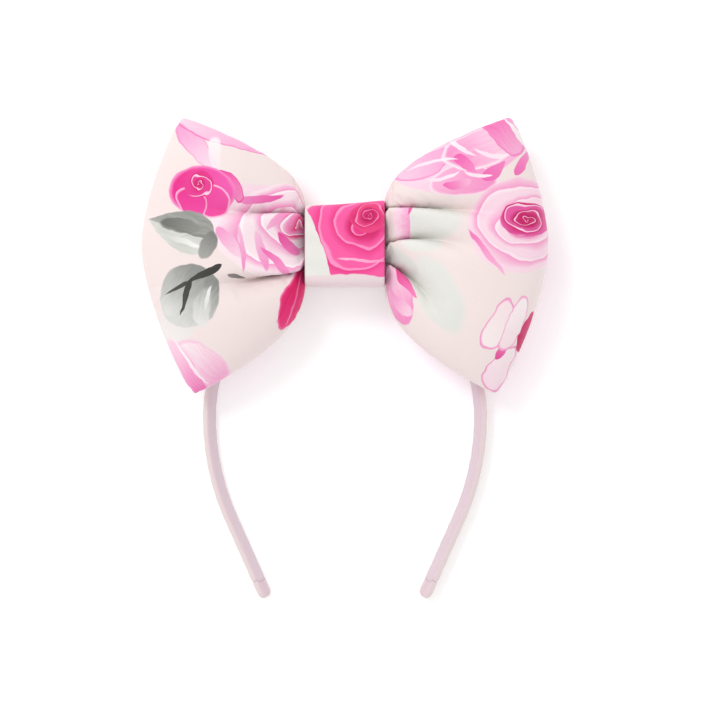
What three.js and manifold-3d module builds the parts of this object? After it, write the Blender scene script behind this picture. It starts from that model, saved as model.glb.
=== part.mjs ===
// Alice headband with a large padded bow, lying flat with the bow facing up.
//
// Millimetres. +X points to the right arm, +Y from the arm tips to the crown, and +Z up from the surface it
// lies on. The origin is the middle of the footprint, on that surface.
//
// The band is a springy plastic strip with a satin cover and a ribbon lining. It stands on one long edge and
// leans outwards, so its inner face looks partly up. The bow is two sewn panels round two pads of wadding. Its
// pinched waist and the crown of the band are held together by the knot. The strip bends mostly beside the
// knot, where each arm turns on a hinge line.

import * as THREE from 'three';
import { mergeVertices } from 'three/addons/utils/BufferGeometryUtils.js';
import Module from 'manifold-3d';

const wasm = await Module();
wasm.setup();

// ---------------------------------------------------------------- driving dimensions

// Band, seen from above
const BAND_WIDTH = 129; // across the outsides, at the widest line
const CROWN_RISE = 70.3; // from the widest line to the outside of the crown
const CROWN_TURN = THREE.MathUtils.degToRad(50); // how far the crown's own bend turns, each way
const SIDE_RADIUS = 115; // outside radius of an arm below the widest line
const SIDE_TURN = THREE.MathUtils.degToRad(24); // how far an arm turns inwards
const TIP_LENGTH = 39.5; // straight stretch at the end of an arm
const HINGE_PAST_KNOT = 8.2; // along the strip, from the knot's side to a hinge line
const HINGE_GAP = 1.2; // between crown and arm, so that the arm can turn

// Band, across the strip
const STRIP_WIDTH = 8;
const STRIP_LEAN = THREE.MathUtils.degToRad(27); // the upper edge leans outwards
const CORE_THICKNESS = 1.4;
const COVER_WALL = 0.5;
const COVER_ROUNDING = 0.45;
const LINING_THICKNESS = 0.5;
const TIP_CAP_LENGTH = 9;
const TIP_CAP_WALL = 0.8;
const TIP_CAP_ROUNDING = 3;

// Bow, seen from above, from its own centre
const BOW_WIDTH = 182; // between the fullest points of the two loops
const TOP_CORNER_IN = 18; // from the fullest point inwards to the upper corner
const TOP_CORNER_UP = 56.4;
const BOTTOM_CORNER_IN = 23;
const BOTTOM_CORNER_DOWN = 65.2;
const WAIST_PINCH = 3.3; // how far the binding draws each edge in, from where it leaves the knot
const FLARE = 0.47; // how suddenly a loop opens beside the knot: 1 is a straight wedge

// Bow, through its thickness
const FRONT_DEPTH = 23; // from the seam to the fullest point of the front
const BACK_DEPTH = 11;
const WAIST_FRONT_DEPTH = 6;
const WAIST_BACK_DEPTH = 9;
const FULLEST_SHARE = 0.45; // where the loop is thickest, as a share of its length
const PANEL_THICKNESS = 1.4;
const BINDING_WIDTH = 7;
const BINDING_THICKNESS = 1;

// Knot
const KNOT_WIDTH = 35.6;
const KNOT_HEIGHT = 36.4;
const KNOT_WALL = 1.6;
const KNOT_PAD_THICKNESS = 2.4;
const KNOT_ROUNDING = 5;
const CROWN_SLACK = 0.7; // between the crown and the lower inside of the knot, at the knot's sides
const STITCH_THREAD = 0.6;
const STITCH_COUNT = 9;
const GLUE_LENGTH = 8;
const GLUE_WIDTH = 5;

// Clearances
const LAYER_GAP = 0.25; // between the layers of the strip
const FIT_GAP = 0.3; // between any other two pieces that meet
const BOW_CLEARANCE = 0.5; // between the moving arms and the back of the bow

// ---------------------------------------------------------------- sizes that follow

const STRIP_THICKNESS = COVER_WALL + LAYER_GAP + CORE_THICKNESS + LAYER_GAP + LINING_THICKNESS;
const CORE_WIDTH = STRIP_WIDTH - 2 * (COVER_WALL + LAYER_GAP);
const STRIP_HEIGHT = STRIP_WIDTH * Math.cos(STRIP_LEAN) + STRIP_THICKNESS * Math.sin(STRIP_LEAN);
const STRIP_REACH = (STRIP_WIDTH * Math.sin(STRIP_LEAN) + STRIP_THICKNESS * Math.cos(STRIP_LEAN)) / 2;

// The crown's radius and the shoulder's radius both follow from the width and the rise.
const HALF_WIDTH = BAND_WIDTH / 2 - STRIP_REACH;
const CROWN_Y = CROWN_RISE - STRIP_REACH;
const CROWN_SINE = Math.sin(CROWN_TURN);
const CROWN_COSINE = Math.cos(CROWN_TURN);
const SHOULDER_RADIUS = (CROWN_Y * CROWN_SINE - HALF_WIDTH * (1 - CROWN_COSINE))
  / (CROWN_SINE * CROWN_COSINE - (1 - CROWN_SINE) * (1 - CROWN_COSINE));
const CROWN_RADIUS = (HALF_WIDTH - SHOULDER_RADIUS * (1 - CROWN_SINE)) / CROWN_SINE;
const BENDS = [
  { radius: CROWN_RADIUS, turn: CROWN_TURN },
  { radius: SHOULDER_RADIUS, turn: Math.PI / 2 - CROWN_TURN },
  { radius: SIDE_RADIUS - STRIP_REACH, turn: SIDE_TURN },
];
const ARM_END = BENDS.reduce((length, bend) => length + bend.radius * bend.turn, TIP_LENGTH);

const CROWN_LIFT = KNOT_WALL + FIT_GAP; // the back of the knot lies under the crown
const BAND_TOP = CROWN_LIFT + STRIP_HEIGHT;
const HINGE_DISTANCE = KNOT_WIDTH / 2 + HINGE_PAST_KNOT; // from the crown's middle, along the strip
const CROWN_DROP = CROWN_RADIUS - Math.sqrt(CROWN_RADIUS ** 2 - (KNOT_WIDTH / 2) ** 2);
const KNOT_LOW = CROWN_RISE - 2 * STRIP_REACH - CROWN_DROP - CROWN_SLACK - KNOT_WALL;
const BOW_Y = KNOT_LOW + KNOT_HEIGHT / 2;
const SEAM_Z = BAND_TOP + BOW_CLEARANCE + BACK_DEPTH;
const BOW_HALF = BOW_WIDTH / 2;
const NECK_X = KNOT_WIDTH / 2 + 2 * FIT_GAP; // where a loop leaves the knot
const NECK_HALF = KNOT_HEIGHT / 2 - KNOT_WALL - FIT_GAP;
const WAIST_HALF = NECK_HALF - WAIST_PINCH;
const FULLEST_X = THREE.MathUtils.lerp(NECK_X, BOW_HALF, FULLEST_SHARE);
const BINDING_FRONT = SEAM_Z + WAIST_FRONT_DEPTH + FIT_GAP + BINDING_THICKNESS;
const KNOT_FRONT = BINDING_FRONT + FIT_GAP + KNOT_PAD_THICKNESS + FIT_GAP + KNOT_WALL;

// ---------------------------------------------------------------- materials

const materials = {
  corePlastic: new THREE.MeshStandardMaterial({ color: '#f4f1ee', roughness: 0.5, metalness: 0 }),
  bandSatin: new THREE.MeshStandardMaterial({ color: '#ecdcdb', roughness: 0.45, metalness: 0 }),
  liningRibbon: new THREE.MeshStandardMaterial({ color: '#dfccd4', roughness: 0.5, metalness: 0 }),
  bowFabric: new THREE.MeshStandardMaterial({ color: '#f5e6e6', roughness: 0.6, metalness: 0 }),
  bowBacking: new THREE.MeshStandardMaterial({ color: '#f0dede', roughness: 0.6, metalness: 0 }),
  knotFabric: new THREE.MeshStandardMaterial({ color: '#ec5c9c', roughness: 0.6, metalness: 0 }),
  wadding: new THREE.MeshStandardMaterial({ color: '#fbfaf7', roughness: 0.95, metalness: 0 }),
  thread: new THREE.MeshStandardMaterial({ color: '#f3e3e4', roughness: 0.7, metalness: 0 }),
  glue: new THREE.MeshStandardMaterial({ color: '#f1ead9', roughness: 0.3, metalness: 0 }),
};

function piece(name, geometry, material) {
  const mesh = new THREE.Mesh(geometry, material);
  mesh.name = name;
  return mesh;
}

// ---------------------------------------------------------------- joining and cutting

function toSolid(geometry) {
  const bare = geometry.clone();
  bare.deleteAttribute('normal');
  bare.deleteAttribute('uv');
  const merged = mergeVertices(bare, 1e-4);
  return new wasm.Manifold(new wasm.Mesh({
    numProp: 3,
    vertProperties: new Float32Array(merged.attributes.position.array),
    triVerts: new Uint32Array(merged.index.array),
  }));
}

function toGeometry(solid) {
  const mesh = solid.getMesh();
  const geometry = new THREE.BufferGeometry();
  geometry.setAttribute('position', new THREE.BufferAttribute(new Float32Array(mesh.vertProperties), 3));
  geometry.setIndex(new THREE.BufferAttribute(new Uint32Array(mesh.triVerts), 1));
  geometry.computeVertexNormals();
  return geometry;
}

function cut(geometry, cutter) {
  return toGeometry(toSolid(geometry).subtract(toSolid(cutter)));
}

// ---------------------------------------------------------------- the line of the band

// The place and heading at a distance along the strip's centreline. Distance 0 is the crown's middle, and it
// is negative on the left. The turn is measured from the crown, so it is 0 there and a right angle at the
// widest line.
function placeOnBand(distance) {
  const side = distance < 0 ? -1 : 1;
  let left = Math.abs(distance);
  let turned = 0;
  let x = 0;
  let y = CROWN_Y;
  for (const bend of BENDS) {
    const used = Math.min(left, bend.radius * bend.turn);
    const next = turned + used / bend.radius;
    x += bend.radius * (Math.sin(next) - Math.sin(turned));
    y -= bend.radius * (Math.cos(turned) - Math.cos(next));
    turned = next;
    left -= used;
  }
  x += left * Math.cos(turned);
  y -= left * Math.sin(turned);
  return { point: new THREE.Vector3(side * x, y, 0), turned };
}

class BandLine extends THREE.Curve {
  constructor(from, to) {
    super();
    this.from = from;
    this.to = to;
  }

  getPoint(share, target = new THREE.Vector3()) {
    return target.copy(placeOnBand(THREE.MathUtils.lerp(this.from, this.to, share)).point);
  }
}

// ---------------------------------------------------------------- band

const CROWN_STEPS = 10;
const ARM_STEPS = 26;

// A section of the strip, drawn with x across its width and y towards the outside, turned to the strip's lean.
// Swept from left to right, the section's x runs down and its y runs outwards.
function leaningSection(shape) {
  const points = shape.getPoints(2).map((point) => new THREE.Vector2(
    point.y * Math.sin(STRIP_LEAN) - point.x * Math.cos(STRIP_LEAN),
    point.y * Math.cos(STRIP_LEAN) + point.x * Math.sin(STRIP_LEAN),
  ));
  return new THREE.Shape(points);
}

function coverSection() {
  const edge = STRIP_WIDTH / 2;
  const outside = STRIP_THICKNESS / 2;
  const wallEdge = edge - COVER_WALL;
  const wallInside = outside - COVER_WALL;
  const shape = new THREE.Shape();
  shape.moveTo(edge, -outside);
  shape.lineTo(edge, outside - COVER_ROUNDING);
  shape.absarc(edge - COVER_ROUNDING, outside - COVER_ROUNDING, COVER_ROUNDING, 0, Math.PI / 2);
  shape.lineTo(COVER_ROUNDING - edge, outside);
  shape.absarc(COVER_ROUNDING - edge, outside - COVER_ROUNDING, COVER_ROUNDING, Math.PI / 2, Math.PI);
  shape.lineTo(-edge, -outside);
  shape.lineTo(-wallEdge, -outside);
  shape.lineTo(-wallEdge, wallInside);
  shape.lineTo(wallEdge, wallInside);
  shape.lineTo(wallEdge, -outside);
  return shape;
}

function stripSection(width, low, high) {
  const shape = new THREE.Shape();
  shape.moveTo(-width / 2, low);
  shape.lineTo(width / 2, low);
  shape.lineTo(width / 2, high);
  shape.lineTo(-width / 2, high);
  return shape;
}

function sweep(section, from, to, steps) {
  const extrudePath = new BandLine(from, to);
  return new THREE.ExtrudeGeometry(leaningSection(section), { extrudePath, steps });
}

// A closed end for the strip, with a pocket for the core. Its own x runs along the strip to the end, its y
// across the strip and its z towards the outside.
function tipCapGeometry() {
  const edge = STRIP_WIDTH / 2;
  const bevel = STRIP_THICKNESS / 4;
  const outline = new THREE.Shape();
  outline.moveTo(-TIP_CAP_LENGTH + bevel, bevel - edge);
  outline.lineTo(-TIP_CAP_ROUNDING, bevel - edge);
  outline.absarc(-TIP_CAP_ROUNDING, TIP_CAP_ROUNDING - edge, TIP_CAP_ROUNDING - bevel, -Math.PI / 2, 0);
  outline.absarc(-TIP_CAP_ROUNDING, edge - TIP_CAP_ROUNDING, TIP_CAP_ROUNDING - bevel, 0, Math.PI / 2);
  outline.lineTo(-TIP_CAP_LENGTH + bevel, edge - bevel);
  const cap = new THREE.ExtrudeGeometry(outline, {
    depth: STRIP_THICKNESS - 2 * bevel,
    bevelThickness: bevel,
    bevelSize: bevel,
    bevelSegments: 2,
    curveSegments: 4,
  });
  cap.translate(0, 0, bevel - STRIP_THICKNESS / 2);
  const pocket = new THREE.BoxGeometry(
    TIP_CAP_LENGTH,
    CORE_WIDTH + 2 * LAYER_GAP,
    CORE_THICKNESS + 2 * LAYER_GAP,
  );
  pocket.translate(-TIP_CAP_WALL - TIP_CAP_LENGTH / 2, 0, 0);
  return cut(cap, pocket);
}

function placeTipCap(cap, side) {
  const end = placeOnBand(side * ARM_END);
  const along = new THREE.Vector3(side * Math.cos(end.turned), -Math.sin(end.turned), 0);
  const level = new THREE.Vector3(side * Math.sin(end.turned), Math.cos(end.turned), 0);
  const up = new THREE.Vector3(0, 0, 1);
  const outward = level.clone().multiplyScalar(Math.cos(STRIP_LEAN)).addScaledVector(up, -Math.sin(STRIP_LEAN));
  const across = new THREE.Vector3().crossVectors(outward, along);
  const turn = new THREE.Matrix4().makeBasis(along, across, outward);
  cap.quaternion.setFromRotationMatrix(turn);
  cap.position.copy(end.point);
  return cap;
}

function buildBand() {
  const band = new THREE.Group();
  const crownEnd = HINGE_DISTANCE - HINGE_GAP / 2;
  const armStart = HINGE_DISTANCE + HINGE_GAP / 2;
  const coverEnd = ARM_END - TIP_CAP_LENGTH - FIT_GAP;
  const coreEnd = ARM_END - TIP_CAP_WALL - FIT_GAP;
  const core = stripSection(CORE_WIDTH, -CORE_THICKNESS / 2, CORE_THICKNESS / 2);
  const liningOutside = -CORE_THICKNESS / 2 - LAYER_GAP;
  const lining = stripSection(CORE_WIDTH, liningOutside - LINING_THICKNESS, liningOutside);
  const layers = [
    { name: 'core', section: core, end: coreEnd, material: materials.corePlastic },
    { name: 'satin_cover', section: coverSection(), end: coverEnd, material: materials.bandSatin },
    { name: 'lining', section: lining, end: coverEnd, material: materials.liningRibbon },
  ];
  for (const layer of layers) {
    const { name, section, end, material } = layer;
    band.add(piece(`${name}_crown`, sweep(section, -crownEnd, crownEnd, CROWN_STEPS), material));
    band.add(piece(`${name}_left_arm`, sweep(section, -end, -armStart, ARM_STEPS), material));
    band.add(piece(`${name}_right_arm`, sweep(section, armStart, end, ARM_STEPS), material));
  }
  band.add(placeTipCap(piece('tip_cap_left', tipCapGeometry(), materials.bandSatin), -1));
  band.add(placeTipCap(piece('tip_cap_right', tipCapGeometry(), materials.bandSatin), 1));

  // The band rests on its tips, with the crown raised by the back of the knot.
  const tipY = placeOnBand(ARM_END).point.y;
  const rise = Math.atan2(CROWN_LIFT, CROWN_Y - tipY);
  band.rotation.x = rise;
  band.position.z = CROWN_LIFT + STRIP_HEIGHT / 2 - CROWN_Y * Math.sin(rise);
  return band;
}

// ---------------------------------------------------------------- bow

// Height of a loop's end edge above or below the centre line. The edge is a circle through the fullest point
// and the corner, and the inset moves it inwards.
function endHeight(x, cornerIn, cornerHeight, inset) {
  const radius = (cornerIn ** 2 + cornerHeight ** 2) / (2 * cornerIn);
  const fromCentre = x - (BOW_HALF - radius);
  return Math.sqrt(Math.max(0, (radius - inset) ** 2 - fromCentre ** 2));
}

// How far a loop has opened at a distance from the bow's centre: 0 in the knot and 1 where it is fully open.
function opened(x, openX, inset) {
  return THREE.MathUtils.clamp((x - NECK_X - inset) / (openX - NECK_X), 0, 1) ** FLARE;
}

function edgeHeight(x, cornerIn, cornerHeight, inset) {
  const gathered = THREE.MathUtils.lerp(WAIST_HALF, NECK_HALF, Math.min(1, x / NECK_X) ** 2);
  const side = THREE.MathUtils.lerp(gathered, cornerHeight, opened(x, BOW_HALF - cornerIn, inset)) - inset;
  return Math.min(side, endHeight(x, cornerIn, cornerHeight, inset));
}

// Depth along the middle of a loop, from the seam to the front or the back.
function middleDepth(x, neckDepth, fullDepth, inset) {
  if (x <= FULLEST_X) {
    return THREE.MathUtils.lerp(neckDepth, fullDepth, opened(x, FULLEST_X, inset)) - inset;
  }
  const past = Math.min(1, (x - FULLEST_X) / (BOW_HALF - inset - FULLEST_X));
  return (fullDepth - inset) * Math.sqrt(1 - past ** 2);
}

// Distances from the bow's centre where its shape is worked out, closest together where it changes fast.
function bowStations(inset) {
  const bottomX = BOW_HALF - BOTTOM_CORNER_IN;
  const topX = BOW_HALF - TOP_CORNER_IN;
  const stretches = [
    { from: 0, to: NECK_X, count: 4, ease: (share) => share },
    { from: NECK_X, to: FULLEST_X, count: 6, ease: (share) => share ** 2 },
    { from: FULLEST_X, to: bottomX, count: 3, ease: (share) => share },
    { from: bottomX, to: topX, count: 1, ease: (share) => share },
    { from: topX, to: BOW_HALF - inset, count: 5, ease: (share) => Math.sin(share * Math.PI / 2) },
  ];
  const half = stretches.flatMap(({ from, to, count, ease }) => (
    Array.from({ length: count }, (_, step) => THREE.MathUtils.lerp(from, to, ease((step + 1) / count)))
  ));
  half.pop();
  return [...half.map((x) => -x).reverse(), 0, ...half];
}

// The whole bow as one closed pillow, with both loops and the waist, moved inwards by the inset. Each station
// is a ring of points over the front and back, and each loop's fullest point closes its end.
function pillow(inset) {
  const across = 10;
  const positions = [];
  const addRing = (x) => {
    const distance = Math.abs(x);
    const top = edgeHeight(distance, TOP_CORNER_IN, TOP_CORNER_UP, inset);
    const bottom = edgeHeight(distance, BOTTOM_CORNER_IN, BOTTOM_CORNER_DOWN, inset);
    const front = middleDepth(distance, WAIST_FRONT_DEPTH, FRONT_DEPTH, inset);
    const back = middleDepth(distance, WAIST_BACK_DEPTH, BACK_DEPTH, inset);
    for (let step = 0; step < 2 * across; step += 1) {
      const angle = Math.PI * step / across;
      const v = Math.cos(angle);
      const profile = Math.sqrt(1 - v ** 4);
      const depth = step < across ? front : -back;
      const isRim = step % across === 0;
      positions.push(x, v * (v > 0 ? top : bottom), isRim ? 0 : depth * profile);
    }
  };
  const stations = bowStations(inset);
  stations.forEach(addRing);
  const firstPole = positions.length / 3;
  positions.push(inset - BOW_HALF, 0, 0, BOW_HALF - inset, 0, 0);

  const ringSize = 2 * across;
  const lastRing = (stations.length - 1) * ringSize;
  const triangles = [];
  for (let step = 0; step < ringSize; step += 1) {
    const next = (step + 1) % ringSize;
    triangles.push(firstPole, next, step);
    triangles.push(firstPole + 1, lastRing + step, lastRing + next);
    for (let ring = 0; ring < lastRing; ring += ringSize) {
      const corners = [ring + step, ring + next, ring + ringSize + next, ring + ringSize + step];
      triangles.push(corners[0], corners[1], corners[2], corners[0], corners[2], corners[3]);
    }
  }
  const geometry = new THREE.BufferGeometry();
  geometry.setAttribute('position', new THREE.Float32BufferAttribute(positions, 3));
  geometry.setIndex(triangles);
  return geometry;
}

// A block that keeps only one region of the bow, from its lowest to its highest corner.
function region(low, high) {
  const block = new THREE.BoxGeometry(high.x - low.x, high.y - low.y, high.z - low.z);
  block.translate((low.x + high.x) / 2, (low.y + high.y) / 2, (low.z + high.z) / 2);
  return toSolid(block);
}

function buildBow() {
  const bow = new THREE.Group();
  const far = 2 * BOW_WIDTH;
  const outer = toSolid(pillow(0));
  const inner = toSolid(pillow(PANEL_THICKNESS));
  const shell = outer.subtract(inner);
  const frontRegion = region(new THREE.Vector3(-far, -far, FIT_GAP / 2), new THREE.Vector3(far, far, far));
  const backRegion = region(new THREE.Vector3(-far, -far, -far), new THREE.Vector3(far, far, -FIT_GAP / 2));
  bow.add(piece('bow_front_panel', toGeometry(shell.intersect(frontRegion)), materials.bowFabric));
  bow.add(piece('bow_back_panel', toGeometry(shell.intersect(backRegion)), materials.bowBacking));

  const filling = toSolid(pillow(PANEL_THICKNESS + FIT_GAP));
  const waistEnd = BINDING_WIDTH / 2 + FIT_GAP;
  const leftRegion = region(new THREE.Vector3(-far, -far, -far), new THREE.Vector3(-waistEnd, far, far));
  const rightRegion = region(new THREE.Vector3(waistEnd, -far, -far), new THREE.Vector3(far, far, far));
  bow.add(piece('wadding_left', toGeometry(filling.intersect(leftRegion)), materials.wadding));
  bow.add(piece('wadding_right', toGeometry(filling.intersect(rightRegion)), materials.wadding));
  bow.add(piece('waist_binding', bindingGeometry(), materials.thread));
  bow.position.set(0, BOW_Y, SEAM_Z);
  return bow;
}

// A rounded rectangle for a sleeve round the waist: its x runs up the bow and its y through the thickness.
function roundedOutline(height, low, high, rounding) {
  const half = height / 2;
  const shape = new THREE.Shape();
  shape.moveTo(-half, low + rounding);
  shape.absarc(rounding - half, low + rounding, rounding, Math.PI, 1.5 * Math.PI);
  shape.absarc(half - rounding, low + rounding, rounding, 1.5 * Math.PI, 2 * Math.PI);
  shape.absarc(half - rounding, high - rounding, rounding, 0, Math.PI / 2);
  shape.absarc(rounding - half, high - rounding, rounding, Math.PI / 2, Math.PI);
  return shape;
}

// Turns a geometry extruded along its z so that it runs along x, with its own x along y and its y along z.
function layAlongX(geometry, length) {
  geometry.translate(0, 0, -length / 2);
  geometry.rotateY(Math.PI / 2);
  geometry.rotateX(Math.PI / 2);
  return geometry;
}

// The thread wound round the waist, just outside the gathered fabric.
function bindingGeometry() {
  const edgeOfWinding = edgeHeight(BINDING_WIDTH / 2, TOP_CORNER_IN, TOP_CORNER_UP, 0) + FIT_GAP;
  const low = -WAIST_BACK_DEPTH - FIT_GAP;
  const high = WAIST_FRONT_DEPTH + FIT_GAP;
  const inside = roundedOutline(2 * edgeOfWinding, low, high, 1);
  const outside = roundedOutline(
    2 * (edgeOfWinding + BINDING_THICKNESS),
    low - BINDING_THICKNESS,
    high + BINDING_THICKNESS,
    1 + BINDING_THICKNESS,
  );
  outside.holes.push(inside);
  const winding = new THREE.ExtrudeGeometry(outside, {
    depth: BINDING_WIDTH,
    bevelEnabled: false,
    curveSegments: 3,
  });
  return layAlongX(winding, BINDING_WIDTH);
}

// ---------------------------------------------------------------- knot

// The wrap is a sleeve round the bow's waist and the crown of the band, open to the left and right.
function knotWrapGeometry() {
  const outside = roundedOutline(KNOT_HEIGHT, 0, KNOT_FRONT, KNOT_ROUNDING);
  const insideHeight = KNOT_HEIGHT - 2 * KNOT_WALL;
  outside.holes.push(roundedOutline(insideHeight, KNOT_WALL, KNOT_FRONT - KNOT_WALL, KNOT_ROUNDING - KNOT_WALL));
  const sleeve = new THREE.ExtrudeGeometry(outside, {
    depth: KNOT_WIDTH,
    bevelEnabled: false,
    curveSegments: 6,
  });
  return layAlongX(sleeve, KNOT_WIDTH);
}

function knotPaddingGeometry() {
  const low = BINDING_FRONT + FIT_GAP;
  const height = KNOT_HEIGHT - 2 * KNOT_ROUNDING;
  const length = KNOT_WIDTH - 2 * KNOT_WALL;
  const outline = roundedOutline(height, low, low + KNOT_PAD_THICKNESS, KNOT_PAD_THICKNESS / 3);
  const pad = new THREE.ExtrudeGeometry(outline, { depth: length, bevelEnabled: false, curveSegments: 3 });
  return layAlongX(pad, length);
}

// One thread whipped back and forth over the wrap's closing edge, on the side that faces the tips.
function closingStitchGeometry() {
  const low = 2 * STITCH_THREAD;
  const high = low + KNOT_ROUNDING;
  const y = -KNOT_HEIGHT / 2 - FIT_GAP - STITCH_THREAD / 2;
  const reach = KNOT_WIDTH / 2 - KNOT_WALL;
  const ends = 2 * STITCH_COUNT;
  const points = Array.from({ length: ends + 1 }, (_, end) => (
    new THREE.Vector3(THREE.MathUtils.lerp(-reach, reach, end / ends), y, end % 2 === 0 ? low : high)
  ));
  const section = new THREE.Shape();
  section.absarc(0, 0, STITCH_THREAD / 2, 0, 2 * Math.PI);
  return new THREE.ExtrudeGeometry(section, {
    extrudePath: new THREE.CatmullRomCurve3(points),
    steps: 4 * ends,
    curveSegments: 3,
  });
}

// Hot-melt glue between the crown and the back of the waist, on one side of the binding.
function glueBead(name, side) {
  const low = BAND_TOP + FIT_GAP;
  const high = SEAM_Z - WAIST_BACK_DEPTH - FIT_GAP;
  const bead = new THREE.CapsuleGeometry(GLUE_WIDTH / 2, GLUE_LENGTH - GLUE_WIDTH, 3, 10);
  bead.rotateZ(Math.PI / 2);
  bead.scale(1, 1, (high - low) / GLUE_WIDTH);
  const mesh = piece(name, bead, materials.glue);
  const x = side * (BINDING_WIDTH / 2 + FIT_GAP + GLUE_LENGTH / 2);
  mesh.position.set(x, CROWN_Y - BOW_Y, (low + high) / 2);
  return mesh;
}

function buildKnot() {
  const knot = new THREE.Group();
  knot.add(piece('knot_wrap', knotWrapGeometry(), materials.knotFabric));
  knot.add(piece('knot_padding', knotPaddingGeometry(), materials.wadding));
  knot.add(piece('knot_closing_stitch', closingStitchGeometry(), materials.thread));
  knot.add(glueBead('glue_bead_left', -1));
  knot.add(glueBead('glue_bead_right', 1));
  knot.position.y = BOW_Y;
  return knot;
}

// ---------------------------------------------------------------- the whole headband

function buildHeadband() {
  const headband = new THREE.Group();
  headband.add(buildBand(), buildBow(), buildKnot());
  headband.updateMatrixWorld(true);
  const footprint = new THREE.Box3().setFromObject(headband, true);
  headband.position.y = -(footprint.min.y + footprint.max.y) / 2;
  return headband;
}

export default buildHeadband();
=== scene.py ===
"""A headband with a big padded bow, dressed piece by piece around its fixed frame.

The frame is in metres, with the band lying flat, the bow facing up, +X towards the right arm and +Y towards
the crown. The classes below hold their sizes in millimetres and turn them into metres as they make a mesh.
Heights on the bow are measured from its seam, and places on the bow from its own centre.
"""
import logging
import math
from dataclasses import dataclass
from enum import Enum
from typing import Callable, Sequence, Union

import bpy
import numpy as np
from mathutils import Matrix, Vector


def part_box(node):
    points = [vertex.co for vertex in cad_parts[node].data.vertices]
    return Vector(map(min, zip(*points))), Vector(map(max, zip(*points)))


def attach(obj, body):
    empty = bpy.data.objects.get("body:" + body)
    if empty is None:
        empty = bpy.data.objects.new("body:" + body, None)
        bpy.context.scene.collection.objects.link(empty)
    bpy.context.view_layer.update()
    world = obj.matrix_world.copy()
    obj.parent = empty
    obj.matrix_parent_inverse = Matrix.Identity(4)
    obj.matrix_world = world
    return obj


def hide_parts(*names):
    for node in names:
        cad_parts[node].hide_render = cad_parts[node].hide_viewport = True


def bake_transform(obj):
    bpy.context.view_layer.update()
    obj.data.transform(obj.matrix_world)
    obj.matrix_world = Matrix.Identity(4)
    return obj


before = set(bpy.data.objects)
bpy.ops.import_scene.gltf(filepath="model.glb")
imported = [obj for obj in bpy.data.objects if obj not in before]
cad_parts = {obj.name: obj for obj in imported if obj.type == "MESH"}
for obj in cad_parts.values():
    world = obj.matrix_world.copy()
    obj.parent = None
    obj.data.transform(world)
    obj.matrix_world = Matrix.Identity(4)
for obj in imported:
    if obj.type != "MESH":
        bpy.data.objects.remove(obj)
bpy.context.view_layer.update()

MM = 0.001
CLOTH_MAP = "cloth"  # where each point lies on its cut cloth
CLOTH_UNIT = 100.0  # millimetres of cloth in one unit of that map
THREAD_SIDES = 8  # points round a thread's section
OFF_PATH = (0.31, 0.87, 0.39)  # a direction that no thread here sets out in

Colour = tuple[float, float, float, float]
Number = Union[float, "Wire"]
Grid = np.ndarray
Face = tuple[int, ...]
Outline = list[tuple[float, float]]


def millimetres(node: str) -> tuple[np.ndarray, np.ndarray]:
    """Looks up the box of a frame node.

    Args:
        node: Name of the frame node.

    Returns:
        Its lowest and highest corner, in millimetres.
    """
    low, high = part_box(node)
    return np.array(low) / MM, np.array(high) / MM


class Side(Enum):
    """The two halves of the headband, with the sign of X on each."""

    LEFT = -1
    RIGHT = 1

    @property
    def word(self) -> str:
        """The side's name as it stands in the names of pieces and bodies."""
        return self.name.lower()


class Slot(Enum):
    """Names of the record's material slots, one for each kind of piece; the pieces are given their finishes
    directly.
    """

    SATIN = "band_satin"
    LINING = "lining_ribbon"
    BOW = "bow_fabric"
    KNOT = "knot_fabric"
    WADDING = "wadding"
    THREAD = "thread"


# ---------------------------------------------------------------- dyes and nodes


def dye(code: str) -> Colour:
    """Turns a hexadecimal screen colour into the linear colour that a shader takes.

    Args:
        code: A hash sign and six digits.

    Returns:
        Its red, green, blue and alpha.
    """
    channels = [int(code[start:start + 2], 16) / 255 for start in (1, 3, 5)]
    linear = [c / 12.92 if c <= 0.04045 else ((c + 0.055) / 1.055) ** 2.4 for c in channels]
    return (linear[0], linear[1], linear[2], 1.0)


class Wire:
    """A value that runs from one node to the next, and that ordinary arithmetic joins to others."""

    def __init__(self, tree: bpy.types.NodeTree, socket: bpy.types.NodeSocket) -> None:
        """Holds the output that the value comes from."""
        self.tree = tree
        self.socket = socket

    def math(self, operation: str, *others: Number) -> "Wire":
        """Adds a math node that starts from this value.

        Args:
            operation: The node's operation, such as ADD.
            others: The node's other values.

        Returns:
            The node's result.
        """
        node = self.tree.nodes.new("ShaderNodeMath")
        node.operation = operation
        for socket, value in zip(node.inputs, (self, *others)):
            plug(self.tree, value, socket)
        return Wire(self.tree, node.outputs[0])

    def __add__(self, other: Number) -> "Wire":
        """This value plus another."""
        return self.math("ADD", other)

    def __sub__(self, other: Number) -> "Wire":
        """This value less another."""
        return self.math("SUBTRACT", other)

    def __mul__(self, other: Number) -> "Wire":
        """This value times another."""
        return self.math("MULTIPLY", other)

    def __truediv__(self, other: Number) -> "Wire":
        """This value over another."""
        return self.math("DIVIDE", other)


def plug(tree: bpy.types.NodeTree, value: object, socket: bpy.types.NodeSocket) -> None:
    """Gives a socket a wire or a fixed value.

    Args:
        tree: The tree that the socket is in.
        value: A wire, or a value of the socket's own kind.
        socket: The input that takes it.
    """
    if isinstance(value, Wire):
        tree.links.new(value.socket, socket)
    else:
        socket.default_value = value


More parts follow.
